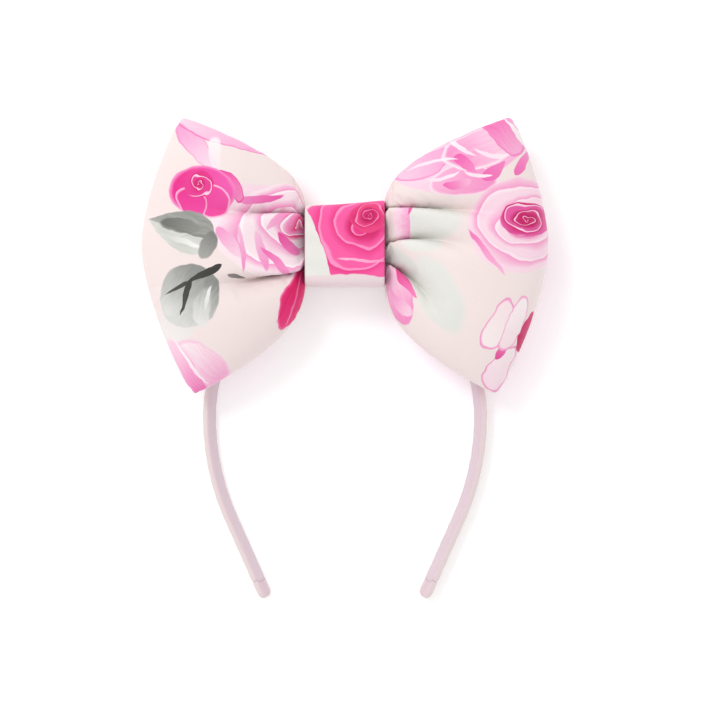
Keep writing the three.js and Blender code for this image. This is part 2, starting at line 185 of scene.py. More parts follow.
class Recipe:
    """A material in the making, with the nodes that its finishes are mixed from."""

    def __init__(self, name: str, gloss: "Gloss") -> None:
        """Starts a material.

        Args:
            name: The material's name.
            gloss: How its surface takes the light.
        """
        self.material = bpy.data.materials.new(name)
        self.material.use_nodes = True
        self.tree = self.material.node_tree
        self.shader = self.tree.nodes["Principled BSDF"]
        self.shader.inputs["Roughness"].default_value = gloss.roughness
        self.shader.inputs["Specular IOR Level"].default_value = gloss.shine
        self.shader.inputs["Sheen Weight"].default_value = gloss.sheen
        self.shader.inputs["Sheen Roughness"].default_value = gloss.sheen_roughness
        self.shader.inputs["Anisotropic"].default_value = gloss.brushed

    def node(self, kind: str, inputs: dict[str, object], output: int = 0, **settings: object) -> Wire:
        """Adds one node.

        Args:
            kind: The node's type, without the ShaderNode in front.
            inputs: Wires and fixed values, by the names of their sockets.
            output: Which of the node's outputs is returned.
            settings: The node's own properties.

        Returns:
            The chosen output.
        """
        node = self.tree.nodes.new("ShaderNode" + kind)
        for name, setting in settings.items():
            setattr(node, name, setting)
        for name, value in inputs.items():
            plug(self.tree, value, node.inputs[name])
        return Wire(self.tree, node.outputs[output])

    def cloth(self) -> Wire:
        """The place on the cut cloth, in millimetres."""
        place = self.node("UVMap", {}, uv_map=CLOTH_MAP)
        return self.stretch(place, (CLOTH_UNIT, CLOTH_UNIT, 1.0))

    def solid(self, scale: float) -> Wire:
        """The place in the piece's own space, in metres times a scale."""
        place = self.node("TexCoord", {}, output=3)
        return self.stretch(place, (scale, scale, scale))

    def stretch(self, place: Wire, scale: tuple[float, float, float]) -> Wire:
        """Scales each axis of a place.

        Args:
            place: The place.
            scale: What its axes are multiplied by.

        Returns:
            The scaled place.
        """
        node = self.tree.nodes.new("ShaderNodeVectorMath")
        node.operation = "MULTIPLY"
        plug(self.tree, place, node.inputs[0])
        node.inputs[1].default_value = scale
        return Wire(self.tree, node.outputs[0])

    def split(self, place: Wire) -> tuple[Wire, Wire]:
        """Takes the first two axes of a place.

        Args:
            place: The place.

        Returns:
            Its X and its Y.
        """
        node = self.tree.nodes.new("ShaderNodeSeparateXYZ")
        plug(self.tree, place, node.inputs[0])
        return Wire(self.tree, node.outputs[0]), Wire(self.tree, node.outputs[1])

    def noise(self, place: Wire, scale: float, detail: float = 2.0, rough: float = 0.5) -> Wire:
        """Soft random tones between 0 and 1."""
        inputs = {"Vector": place, "Scale": scale, "Detail": detail, "Roughness": rough}
        return self.node("TexNoise", inputs)

    def drift(self, place: Wire, scale: float, by: float) -> Wire:
        """A place that wanders a little, so that drawn edges look painted by hand.

        Args:
            place: The place to disturb.
            scale: How fine the wandering is.
            by: How far it wanders.

        Returns:
            The disturbed place.
        """
        wander = self.node("TexNoise", {"Vector": place, "Scale": scale, "Detail": 2.0}, output=1)
        centred = self.tree.nodes.new("ShaderNodeVectorMath")
        centred.operation = "SUBTRACT"
        plug(self.tree, wander, centred.inputs[0])
        centred.inputs[1].default_value = (0.5, 0.5, 0.5)
        moved = self.tree.nodes.new("ShaderNodeVectorMath")
        moved.operation = "MULTIPLY_ADD"
        plug(self.tree, Wire(self.tree, centred.outputs[0]), moved.inputs[0])
        moved.inputs[1].default_value = (by, by, 0.0)
        plug(self.tree, place, moved.inputs[2])
        return Wire(self.tree, moved.outputs[0])

    def spot(
        self,
        cloth: Wire,
        centre: tuple[float, float],
        turn: float,
        size: tuple[float, float],
    ) -> tuple[Wire, Wire, Wire]:
        """Measures the cloth from a motif's own centre, turned with it and in shares of its size.

        Args:
            cloth: The place on the cloth, in millimetres.
            centre: The motif's centre on the cloth.
            turn: The angle that it is turned by, in radians.
            size: Half its length and half its width.

        Returns:
            The place on the motif, then its share along it and its share across it.
        """
        inputs = {
            "Vector": cloth,
            "Location": (*centre, 0.0),
            "Rotation": (0.0, 0.0, turn),
            "Scale": (*size, 1.0),
        }
        place = self.node("Mapping", inputs, vector_type="TEXTURE")
        along, across = self.split(place)
        return place, along, across

    def ease(self, value: Wire, start: float, end: float) -> Wire:
        """A smooth step from 0 at one value to 1 at another."""
        inputs = {"Value": value, "From Min": start, "From Max": end}
        return self.node("MapRange", inputs, interpolation_type="SMOOTHSTEP")

    def ramp(self, value: Wire, stops: Sequence[tuple[float, Colour]]) -> Wire:
        """Looks a value up in a row of colours.

        Args:
            value: What is looked up.
            stops: The colours, each with its place between 0 and 1, in order.

        Returns:
            The colour.
        """
        node = self.tree.nodes.new("ShaderNodeValToRGB")
        elements = node.color_ramp.elements
        while len(elements) < len(stops):
            elements.new(1.0)
        for element, (position, colour) in zip(elements, stops):
            element.position = position
            element.color = colour
        plug(self.tree, value, node.inputs[0])
        return Wire(self.tree, node.outputs[0])

    def mix(self, share: Number, first: object, second: object, blend: str = "MIX") -> Wire:
        """Mixes two colours.

        Args:
            share: How much of the second there is, from 0 to 1.
            first: The colour underneath.
            second: The colour on top.
            blend: How they are blended, such as MIX or MULTIPLY.

        Returns:
            The mixed colour.
        """
        node = self.tree.nodes.new("ShaderNodeMix")
        node.data_type = "RGBA"
        node.blend_type = blend
        for index, value in ((0, share), (6, first), (7, second)):
            plug(self.tree, value, node.inputs[index])
        return Wire(self.tree, node.outputs[2])

    def paint(self, colour: object) -> None:
        """Gives the surface its colour."""
        plug(self.tree, colour, self.shader.inputs["Base Color"])

    def vary_roughness(self, tone: Wire, low: float, high: float) -> None:
        """Spreads the roughness between two values by a tone between 0 and 1."""
        inputs = {"Value": tone, "To Min": low, "To Max": high}
        plug(self.tree, self.node("MapRange", inputs), self.shader.inputs["Roughness"])

    def emboss(self, *layers: tuple[Wire, float]) -> None:
        """Raises the surface.

        Args:
            layers: Each a height between 0 and 1 and how many millimetres it stands for.
        """
        normal = None
        for height, depth in layers:
            inputs = {"Height": height, "Distance": depth * MM, "Strength": 1.0}
            if normal is not None:
                inputs["Normal"] = normal
            normal = self.node("Bump", inputs)
        plug(self.tree, normal, self.shader.inputs["Normal"])


@dataclass(frozen=True)
class Gloss:
    """How a surface takes the light."""

    roughness: float
    shine: float = 0.3
    sheen: float = 0.0
    sheen_roughness: float = 0.5
    brushed: float = 0.0


# ---------------------------------------------------------------- what the print is drawn with


@dataclass(frozen=True)
class Petal:
    """One brush stroke: a leaf-shaped patch that may be bent, pointed and outlined."""

    centre: tuple[float, float]
    size: tuple[float, float]  # half its length and half its width
    turn: float  # degrees from +X to its tip
    base: str
    tip: str
    line: str = ""  # no outline where it is empty
    taper: float = 0.0  # 0 is an oval, and near 1 its tip is a point
    bend: float = 0.0
    soft: float = 0.06  # share of its size over which its edge fades
    streaks: float = 0.35
    cover: float = 1.0

    def paint(self, recipe: Recipe, cloth: Wire, under: Wire) -> Wire:
        """Lays the stroke over what is already painted.

        Args:
            recipe: The material that it is mixed in.
            cloth: The place on the cloth, in millimetres.
            under: The colour painted so far.

        Returns:
            The colour with this stroke on it.
        """
        spot, along, across = recipe.spot(cloth, self.centre, math.radians(self.turn), self.size)
        if self.bend:
            across = along.math("MULTIPLY", along).math("MULTIPLY_ADD", -self.bend, across)
        if self.taper:
            across = across / along.math("MULTIPLY_ADD", -self.taper, 1.0)
        reach = along.math("MULTIPLY_ADD", along, across * across)
        brush = recipe.noise(recipe.stretch(spot, (0.9, 4.5, 1.0)), 1.4, 3.0)
        tone = along.math("MULTIPLY_ADD", 0.5, 0.5 - self.streaks / 2)
        tone = brush.math("MULTIPLY_ADD", self.streaks, tone)
        colour = recipe.ramp(tone, [(0.12, dye(self.base)), (0.88, dye(self.tip))])
        if self.line:
            colour = recipe.mix(recipe.ease(reach, 0.72, 0.95), colour, dye(self.line))
        inside = recipe.ease(reach, 1.0 + self.soft, 1.0 - self.soft)
        if self.cover < 1.0:
            inside = inside * self.cover
        return recipe.mix(inside, under, colour)


@dataclass(frozen=True)
class Rose:
    """A rose seen from above, its petals wound round the heart."""

    centre: tuple[float, float]
    size: tuple[float, float]
    turn: float
    heart: str
    shade: str
    body: str
    lip: str
    winds: float = 3.4
    ruffle: float = 0.16
    soft: float = 0.03
    heart_size: float = 0.28

    def paint(self, recipe: Recipe, cloth: Wire, under: Wire) -> Wire:
        """Lays the rose over what is already painted.

        Args:
            recipe: The material that it is mixed in.
            cloth: The place on the cloth, in millimetres.
            under: The colour painted so far.

        Returns:
            The colour with the rose on it.
        """
        _, along, across = recipe.spot(cloth, self.centre, math.radians(self.turn), self.size)
        reach = along.math("MULTIPLY_ADD", along, across * across).math("POWER", 0.5)
        angle = across.math("ARCTAN2", along)
        wave = (angle.math("MULTIPLY_ADD", 3.0, reach * 8.0)).math("SINE")
        wound = reach.math("POWER", 0.62) * self.winds
        wound = angle.math("MULTIPLY_ADD", 1 / math.tau, wound)
        layer = wave.math("MULTIPLY_ADD", self.ruffle, wound).math("FRACT")
        stops = [
            (0.0, dye(self.shade)),
            (0.45, dye(self.body)),
            (0.82, dye(self.body)),
            (0.90, dye(self.lip)),
            (0.97, dye(self.lip)),
            (1.0, dye(self.shade)),
        ]
        colour = recipe.ramp(layer, stops)
        deep_stops = [(0.0, dye(self.heart)), (0.85, dye(self.shade)), (0.95, dye(self.lip))]
        deep = recipe.ramp(layer, deep_stops)
        near = recipe.ease(reach, self.heart_size * 0.7, self.heart_size * 1.3)
        colour = recipe.mix(near, deep, colour)
        edge = wave.math("MULTIPLY_ADD", 0.035, reach)
        return recipe.mix(recipe.ease(edge, 1.0 + self.soft, 1.0 - self.soft), under, colour)


@dataclass(frozen=True)
class Leaf:
    """A leaf with a dark half, a light half and veins."""

    base: tuple[float, float]
    tip: tuple[float, float]
    width: float
    dark: str
    light: str
    vein: str
    veins: float = 4.0
    vein_width: float = 0.10
    mottle: float = 0.45  # how much each half takes of the other's colour

    def paint(self, recipe: Recipe, cloth: Wire, under: Wire) -> Wire:
        """Lays the leaf over what is already painted.

        Args:
            recipe: The material that it is mixed in.
            cloth: The place on the cloth, in millimetres.
            under: The colour painted so far.

        Returns:
            The colour with the leaf on it.
        """
        run = (self.tip[0] - self.base[0], self.tip[1] - self.base[1])
        size = (math.hypot(*run), self.width)
        spot, along, across = recipe.spot(cloth, self.base, math.atan2(run[1], run[0]), size)
        kept = along.math("MAXIMUM", 0.0).math("MINIMUM", 1.0)
        outline = (kept.math("POWER", 0.7) * math.pi).math("SINE").math("MAXIMUM", 0.001)
        away = across.math("ABSOLUTE")
        share = away / outline
        wash = recipe.noise(recipe.stretch(spot, (2.0, 3.0, 1.0)), 1.6, 3.0)
        light = recipe.mix(wash * self.mottle, dye(self.light), dye(self.dark))
        dark = recipe.mix(wash * self.mottle, dye(self.dark), dye(self.light))
        colour = recipe.mix(recipe.ease(across, -0.08, 0.05), dark, light)
        slanted = away.math("MULTIPLY_ADD", -0.45, along) * self.veins
        ridge = slanted.math("PINGPONG", 0.5)
        thin = share.math("MULTIPLY_ADD", -self.vein_width, self.vein_width)
        side_vein = (thin - ridge).math("MULTIPLY", 30.0).math("MAXIMUM", 0.0).math("MINIMUM", 1.0)
        middle = kept.math("MULTIPLY_ADD", -0.10, 0.11)
        midrib = (middle - away).math("MULTIPLY", 30.0).math("MAXIMUM", 0.0).math("MINIMUM", 1.0)
        colour = recipe.mix(side_vein.math("MAXIMUM", midrib), colour, dye(self.vein))
        return recipe.mix(recipe.ease(share, 1.04, 0.94), under, colour)


Motif = Union[Petal, Rose, Leaf]


# ---------------------------------------------------------------- finishes


@dataclass(frozen=True)
class FlowerPrint:
    """Soft stretch crepe with large painted roses on blush."""

    name: str
    motifs: tuple[Motif, ...]
    ground: str = "#efdedc"
    pale: str = "#efe6e2"
    gloss: Gloss = Gloss(roughness=0.62, shine=0.25, sheen=0.12, sheen_roughness=0.45)
    thread_pitch: float = 0.42

    def material(self) -> bpy.types.Material:
        """Mixes the ground, paints the motifs in order and raises the weave.

        Returns:
            The finish.
        """
        recipe = Recipe(self.name, self.gloss)
        flat = recipe.cloth()
        cloth = recipe.drift(flat, 0.11, 3.0)
        colour = recipe.mix(recipe.noise(flat, 0.035, 2.0), dye(self.ground), dye(self.pale))
        for motif in self.motifs:
            colour = motif.paint(recipe, cloth, colour)
        grain = recipe.noise(flat, 2.6, 2.0)
        speck = recipe.mix(grain, dye("#e9e4e6"), dye("#ffffff"))
        recipe.paint(recipe.mix(1.0, colour, speck, blend="MULTIPLY"))
        recipe.vary_roughness(grain, self.gloss.roughness - 0.06, self.gloss.roughness + 0.08)
        along, across = recipe.split(flat)
        turns = math.tau / self.thread_pitch
        weave = (along * turns).math("SINE") * (across * turns).math("SINE")
        recipe.emboss((weave, 0.006), (recipe.noise(flat, 0.35, 3.0), 0.10))
        return recipe.material


@dataclass(frozen=True)
class Satin:
    """Thin satin stretched round the strip, with light painted into its colour: a painted highlight on the
    upper edge and outer face, and painted shade where it turns in.
    """

    name: str
    gloss: Gloss = Gloss(roughness=0.42, shine=0.4, sheen=0.1, sheen_roughness=0.35, brushed=0.3)
    tone_span: float = 24.2  # millimetres round the strip that the painted highlight and shade are spread over

    def material(self) -> bpy.types.Material:
        """Mixes the satin from its painted highlight and shade across the strip and its long floating
        threads.

        Returns:
            The finish.
        """
        recipe = Recipe(self.name, self.gloss)
        flat = recipe.cloth()
        along, around = recipe.split(flat)
        # painted light round the strip: lighter on the upper edge and outer face as a painted highlight,
        # darker pink on the turned-in faces as painted shade
        tones = [
            (0.0, dye("#d3b9c3")), (0.12, dye("#d8c1c8")), (0.22, dye("#dfcfce")),
            (0.42, dye("#d9cbc8")), (0.60, dye("#ddcfcb")), (0.68, dye("#dbc9cc")),
            (0.76, dye("#d3b9c3")), (1.0, dye("#d3b9c3")),
        ]
        colour = recipe.ramp(around / self.tone_span, tones)
        float_threads = recipe.noise(recipe.stretch(flat, (0.16, 3.2, 1.0)), 1.0, 3.0)
        colour = recipe.mix(float_threads * 0.35, colour, dye("#cbb8be"))
        recipe.paint(colour)
        recipe.vary_roughness(float_threads, 0.36, 0.52)
        creases = recipe.noise(recipe.stretch(flat, (0.45, 0.22, 1.0)), 1.0, 3.0)
        weave = (along * (math.tau / 0.35)).math("SINE")
        recipe.emboss((creases, 0.22), (float_threads, 0.03), (weave, 0.004))
        return recipe.material


@dataclass(frozen=True)
class Ribbon:
    """The ribbed lilac-pink ribbon inside the band."""

    name: str
    gloss: Gloss = Gloss(roughness=0.5, shine=0.35, sheen=0.1, sheen_roughness=0.4)

    def material(self) -> bpy.types.Material:
        """Mixes the ribbon from soft tones and raises its fine ribs.

        Returns:
            The finish.
        """
        recipe = Recipe(self.name, self.gloss)
        flat = recipe.cloth()
        along, _ = recipe.split(flat)
        wash = recipe.noise(recipe.stretch(flat, (0.12, 0.8, 1.0)), 1.0, 3.0)
        recipe.paint(recipe.mix(wash, dye("#cfbac5"), dye("#d9c7cd")))
        recipe.vary_roughness(wash, 0.44, 0.58)
        ribs = (along * (math.tau / 0.4)).math("SINE")
        recipe.emboss((wash, 0.10), (ribs, 0.012))
        return recipe.material


@dataclass(frozen=True)
class Fibre:
    """White polyester wadding."""

    name: str
    gloss: Gloss = Gloss(roughness=0.95, shine=0.1, sheen=0.4)

    def material(self) -> bpy.types.Material:
        """Mixes loose white fibres.

        Returns:
            The finish.
        """
        recipe = Recipe(self.name, self.gloss)
        place = recipe.solid(1000.0)
        tufts = recipe.noise(place, 0.25, 4.0, 0.7)
        recipe.paint(recipe.mix(tufts, dye("#f1efec"), dye("#fdfcfa")))
        recipe.emboss((tufts, 1.2), (recipe.noise(place, 1.8, 4.0, 0.8), 0.3))
        return recipe.material


@dataclass(frozen=True)
class Thread:
    """Twisted pale pink sewing thread."""

    name: str
    gloss: Gloss = Gloss(roughness=0.6, shine=0.3, sheen=0.3)

    def material(self) -> bpy.types.Material:
        """Mixes the thread and raises its twist.

        Returns:
            The finish.
        """
        recipe = Recipe(self.name, self.gloss)
        along, around = recipe.split(recipe.cloth())
        twist = (along * 5.0 + around * 4.4).math("SINE")
        twist = twist.math("MULTIPLY_ADD", 0.5, 0.5)
        recipe.paint(recipe.mix(twist, dye("#e2c4cc"), dye("#f4e2e5")))
        recipe.emboss((twist, 0.06))
        return recipe.material


@dataclass(frozen=True)
class Plastic:
    """The white moulded core."""

    name: str
    gloss: Gloss = Gloss(roughness=0.45, shine=0.45)

    def material(self) -> bpy.types.Material:
        """Mixes white plastic with a faint moulded grain.

        Returns:
            The finish.
        """
        recipe = Recipe(self.name, self.gloss)
        grain = recipe.noise(recipe.solid(1000.0), 1.1, 3.0)
        recipe.paint(recipe.mix(grain, dye("#f0ede9"), dye("#f6f4f1")))
        recipe.vary_roughness(grain, 0.4, 0.55)
        recipe.emboss((grain, 0.02))
        return recipe.material


@dataclass(frozen=True)
class Glue:
    """Set hot glue, cloudy and slightly yellow."""

    name: str
    gloss: Gloss = Gloss(roughness=0.3, shine=0.5)

    def material(self) -> bpy.types.Material:
        """Mixes the glue with its slow ripples.

        Returns:
            The finish.
        """
        recipe = Recipe(self.name, self.gloss)
        ripple = recipe.noise(recipe.solid(1000.0), 0.4, 2.0)
        recipe.paint(recipe.mix(ripple, dye("#e9e0c8"), dye("#f4eedd")))
        recipe.vary_roughness(ripple, 0.22, 0.4)
        recipe.emboss((ripple, 0.25))
        return recipe.material


def finish_nodes(start: str, material: bpy.types.Material) -> None:
    """Gives a finish to the frame's own nodes whose names start with a word.

    Args:
        start: The word.
        material: The finish.
    """
    for name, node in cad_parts.items():
        if name.startswith(start):
            node.data.materials.clear()
            node.data.materials.append(material)


# ---------------------------------------------------------------- the flowers

# Places and sizes are millimetres on the cloth, from the middle of the bow or of the knot's front.
# One print takes about 36 strokes at most: with 45 the finish renders black.

PINK = "#f08cc4"
SOFT_PINK = "#f6c4dc"
MAGENTA = "#e4246f"
WHITE_PINK = "#f6e6ea"
MINT = "#e4e7e0"

LEFT_PRINT = FlowerPrint("left loop print", (
    Petal((-47.3, -13.2), (4.0, 1.1), -8, "#8a8583", "#77726f", taper=0.3),
    Petal((-38.0, 17.0), (25.0, 9.0), 168, SOFT_PINK, WHITE_PINK, taper=0.2, bend=-0.2, soft=0.25),
    Rose((-21.0, 7.0), (36.5, 21.0), 4, MAGENTA, "#f49ccb", "#f9e6ec", "#fcf4f5", winds=4.2, heart_size=0.2),
    Petal((-37.6, 19.4), (10.0, 1.9), 6, PINK, "#ea5cab", taper=0.3, bend=0.9, soft=0.2),
    Petal((-51.5, 1.0), (7.0, 2.6), -52, "#f49fcd", "#f8cfe3", soft=0.12),
    Petal((-45.4, -1.6), (9.0, 1.1), 98, "#f190c5", "#f7c0dd", bend=0.2, soft=0.3),
    Petal((-37.2, -2.0), (7.5, 1.9), -70, "#f7bfdc", "#f193c6", bend=0.12, soft=0.25),
    Petal((-30.0, -6.4), (9.5, 1.3), -34, "#ef72b6", "#f49bca", bend=0.3, soft=0.25),
    Petal((-25.4, 0.6), (6.5, 2.2), -38, "#ec4fa4", "#f283be", bend=0.2, soft=0.15),
    Petal((-29.0, 10.0), (7.5, 1.4), 214, "#f17fbd", "#f6b3d5", bend=0.25, soft=0.25),
    Petal((-64.9, 42.4), (16.0, 4.6), -56, "#f39fcd", "#f9dbe8", line="#f190c5", taper=0.6, bend=0.25),
    Petal((-56.0, 52.6), (22.5, 7.2), -20, "#f8cfe2", "#f5a9d2", line="#ee70b6", taper=0.3, bend=0.15),
    Petal((-57.2, 39.5), (9.5, 2.4), -86, "#fbf1f2", "#f8e3ea", taper=0.4, soft=0.3, cover=0.85),
    Petal((-49.6, 26.2), (8.6, 3.0), -55, "#ec4fa2", "#f28cc0", line="#e63f98", bend=-0.5),
    Petal((-62.8, 23.1), (14.6, 11.2), -8, "#e32a8a", "#f05cb0", line="#f283c0", streaks=0.25),
    Petal((-58.7, 18.3), (8.2, 7.6), -20, "#ec3f9b", "#f055a8", line="#f9c4df", streaks=0.2),
    Petal((-66.7, 17.3), (9.0, 5.6), 120, "#ee4aa4", "#e4318e", line="#f7b4d6", streaks=0.2, bend=0.3),
    Rose(
        (-64.0, 26.0), (6.4, 5.9), 20, "#c9186a", "#d9257c", "#e33a90", "#fad3e5", winds=2.3,
        heart_size=0.4,
    ),
    Leaf((-56.4, 1.0), (-87.6, 11.2), 9.2, "#787974", "#e3e5df", "#8b8c87", veins=3.0, vein_width=0.03),
    Petal((-72.4, 8.2), (8.8, 2.9), -9, "#63645f", "#8a8b85", bend=-0.2, streaks=0.8, soft=0.25, cover=0.85),
    Petal((-71.0, 1.6), (8.0, 1.2), 160, "#f0f1ed", "#d3d5cf", bend=0.4, soft=0.3),
    Petal((-60.0, -0.6), (6.0, 3.4), 60, "#a3a49f", "#7f807b", soft=0.2, streaks=0.5),
    Petal((-73.0, -32.5), (11.0, 8.5), 246, "#dcded9", "#efeae7", soft=0.25),
    Petal((-68.4, -22.4), (14.4, 13.2), 236, "#8f918c", "#d6d8d3", streaks=0.5, soft=0.05),
    Petal((-63.0, -27.6), (8.4, 3.6), 262, "#b9bbb6", "#e4e5e1", streaks=0.9, soft=0.3, bend=0.3),
    Petal((-60.6, -23.6), (5.6, 0.9), 256, "#eceeea", "#dddfda", streaks=0.4, soft=0.3, bend=0.5),
    Petal((-75.6, -25.0), (6.5, 4.0), 240, "#b4b6b1", "#dcdeda", streaks=0.8, soft=0.3),
    Petal((-61.9, -12.6), (8.8, 1.5), 209, "#3a3b38", "#43443f", taper=0.35),
    Petal((-73.9, -18.9), (6.2, 0.9), 206, "#474843", "#50514c", taper=0.7),
    Petal((-69.9, -23.0), (8.4, 1.1), 253, "#3f403c", "#4c4d48", taper=0.6, bend=0.1),
    Petal((-22.4, -27.6), (14.4, 7.4), 246, "#d8105e", "#ea2d7a", line="#f06aa4", taper=0.25, streaks=0.7),
    Petal((-22.8, -28.0), (11.0, 0.5), 250, "#ee5c9c", "#f27fb0", bend=0.25, soft=0.3),
    Petal((-27.0, -27.0), (9.0, 0.4), 244, "#c9145c", "#d8246c", bend=-0.2, soft=0.3),
    Petal((-63.5, -54.5), (15.5, 9.5), -46, WHITE_PINK, "#f4a9d0", line="#f5c6de", soft=0.14, streaks=0.8),
    Petal(
        (-71.4, -56.0), (15.0, 5.6), -58, "#f9cfe2", "#ee78b8", taper=0.2, bend=0.2, soft=0.14,
        streaks=0.8,
    ),
    Petal((-68.0, -53.0), (13.0, 0.7), -56, "#fdf0f5", "#fbe4ee", bend=0.5, soft=0.3),
))

RIGHT_PRINT = FlowerPrint("right loop print", (
    Petal((39.7, 9.0), (12.0, 8.0), 10, MINT, MINT, soft=0.3, cover=0.9),
    Petal((41.3, -22.3), (18.0, 9.0), -60, MINT, "#dfe2db", soft=0.3, cover=0.95),
    Petal((25.0, -8.4), (8.5, 4.6), -35, MINT, "#dadfd8", soft=0.25, cover=0.95),
    Petal((34.0, -0.6), (9.0, 4.0), -4, "#e9ece5", MINT, soft=0.3, cover=0.9),
    Petal((26.0, 8.6), (3.6, 8.6), 5, "#f9dbe7", "#f3a4ce", soft=0.15, streaks=0.9),
    Petal((29.4, 14.0), (2.6, 0.9), 70, "#ea58a6", "#f07fbd", soft=0.3),
    Petal((53.5, 46.0), (34.0, 19.5), 26, "#f9d3e4", "#f4a4ce", soft=0.05, streaks=0.7),
    Petal((35.6, 36.6), (13.5, 7.4), 26, "#f7c5de", "#f3a3cf", line="#ef8cc4", bend=0.25, streaks=0.6),
    Petal((52.5, 27.8), (15.0, 6.6), 4, "#f5b0d3", "#f193c6", line="#f9dfe9", bend=-0.25, streaks=0.6),
    Petal((59.5, 44.0), (17.0, 11.0), 22, "#f08fc3", "#f9d3e4", line="#fae3ec", streaks=0.6),
    Petal((53.6, 35.0), (6.4, 2.6), -46, "#ea62ad", "#f18cc3", taper=0.6),
    Petal((50.0, 25.6), (6.0, 1.8), 12, "#ec6eb4", "#f5b1d3", bend=0.5),
    Petal((66.0, 31.6), (6.5, 2.6), 40, "#ec6cb2", "#ee82bd", taper=0.5, bend=0.3),
    Petal((39.0, 37.6), (11.0, 1.0), 8, "#f9dfeb", "#fbe9f1", bend=-1.6, taper=0.3, soft=0.15),
    Petal((51.6, 44.0), (8.4, 1.2), -52, "#fbe9f1", "#f9dfeb", bend=1.4, taper=0.5, soft=0.15),
    Petal((65.6, 38.6), (8.6, 1.1), -6, "#f9dfeb", "#fbe9f1", bend=2.6, taper=0.2, soft=0.15),
    Petal((44.0, 28.4), (7.0, 0.8), 15, "#f9dfeb", "#fbe8f0", bend=2.0, soft=0.2),
    Petal((58.4, 29.4), (6.0, 0.8), -10, "#f9dfeb", "#fbe8f0", bend=1.6, soft=0.2),
    Petal((71.0, 50.0), (12.5, 6.4), -54, "#ea66ae", "#f4acd2", line="#f07fbe", bend=-0.2, streaks=0.6),
    Petal((76.6, 51.0), (11.5, 2.2), -58, "#f8eeef", "#f4ebe8", bend=0.2),
    Petal((75.6, 57.0), (8.0, 3.4), -56, "#f08fc6", "#f5b6d8"),
    Petal((79.4, 36.6), (7.8, 2.0), 62, "#ee70b4", "#f493c7", taper=0.5),
    Rose(
        (80.5, 8.4), (27.0, 20.5), 186, "#e0559c", "#f39fca", "#f8d9e5", "#fbe6ee", winds=4.6,
        heart_size=0.3,
    ),
    Petal((62.0, -4.0), (12.0, 1.2), -50, "#f17fbd", "#f6b3d5", bend=0.25, soft=0.25),
    Rose(
        (80.4, 11.0), (13.0, 7.4), 180, "#b8145c", "#cf1f70", "#e0589f", "#fbd6e6", winds=3.4,
        heart_size=0.5,
    ),
    Petal((22.6, -23.6), (14.0, 7.6), 118, "#f390c5", "#fad7e6", line="#f193c5", bend=0.2, streaks=0.8),
    Petal((26.0, -27.6), (6.0, 3.0), 140, "#f8cfe2", "#f3a1cd", soft=0.12, streaks=0.6),
    Petal((27.0, -17.6), (8.5, 1.7), -52, "#e6388c", "#f27fb9", taper=0.4),
    Petal(
        (68.5, -35.5), (12.0, 5.6), 62, "#f6ecea", "#f5e3e6", line="#f190c4", taper=0.2, bend=0.3,
        streaks=0.2,
    ),
    Petal(
        (68.6, -54.5), (12.5, 5.0), 60, "#f7dde7", "#f5e8e9", line="#ee86bd", taper=0.3, bend=-0.3,
        streaks=0.2,
    ),
    Petal((70.0, -46.0), (5.6, 1.5), 52, "#e2529a", "#f083ba", taper=0.4),
    Petal((75.5, -35.0), (13.0, 4.2), 66, "#f6e2e6", "#f8eff0", line="#f3a3cd", bend=0.3, streaks=0.2),
    Petal((81.0, -38.6), (9.6, 2.6), 68, "#c21a5e", "#d0246c", taper=0.3),
    Petal((85.0, 38.6), (1.9, 0.4), -60, "#55585c", "#77797c", bend=0.5),
))

KNOT_PRINT = FlowerPrint("knot print", (
    Rose(
        (9.5, 8.5), (30.0, 27.0), 28, "#cc1762", "#ea3d8a", "#f85ca3", "#fb93c3", winds=4.2,
        heart_size=0.3,
    ),
    Rose((10.6, 12.0), (8.0, 7.0), 0, "#b81258", "#d8226f", "#e8437f", "#f48fbc", winds=3.0, heart_size=0.5),
    Petal((8.0, -7.0), (11.0, 0.6), 176, "#f59cc6", "#f9b7d4", bend=-0.3, soft=0.25),
    Petal((-19.0, -4.6), (36.0, 10.0), -72, "#e9e8e3", "#e2e5de", soft=0.04, streaks=0.7),
    Petal((0.0, -44.0), (60.0, 31.0), 0, "#ead9db", "#ecdcdf", soft=0.02),
))


# ---------------------------------------------------------------- meshes


def eased(share: Grid, pull: float) -> Grid:
    """Even shares from 0 to 1, drawn towards both ends."""
    return share - pull * np.sin(math.tau * share) / math.tau


def smooth(value: Grid) -> Grid:
    """A smooth step from 0 to 1, for values between 0 and 1."""
    value = np.clip(value, 0.0, 1.0)
    return value * value * (3.0 - 2.0 * value)


def squared(angle: Grid) -> Grid:
    """How far a squarish ring reaches at an angle, as a share of a round ring's radius."""
    return (np.abs(np.cos(angle)) ** 4 + np.abs(np.sin(angle)) ** 4) ** -0.25


def quads(
    rows: int,
    columns: int,
    wrap_rows: bool = False,
    wrap_columns: bool = False,
) -> list[Face]:
    """Faces of a grid of points that is numbered row by row.

    Args:
        rows: How many rows of points there are.
        columns: How many points a row has.
        wrap_rows: Whether the last row joins the first.
        wrap_columns: Whether the end of a row joins its start.

    Returns:
        Four point numbers for each face.
    """
    faces = []
    for row in range(rows if wrap_rows else rows - 1):
        below = (row + 1) % rows
        for column in range(columns if wrap_columns else columns - 1):
            right = (column + 1) % columns
            faces.append((
                row * columns + column,
                row * columns + right,
                below * columns + right,
                below * columns + column,
            ))
    return faces


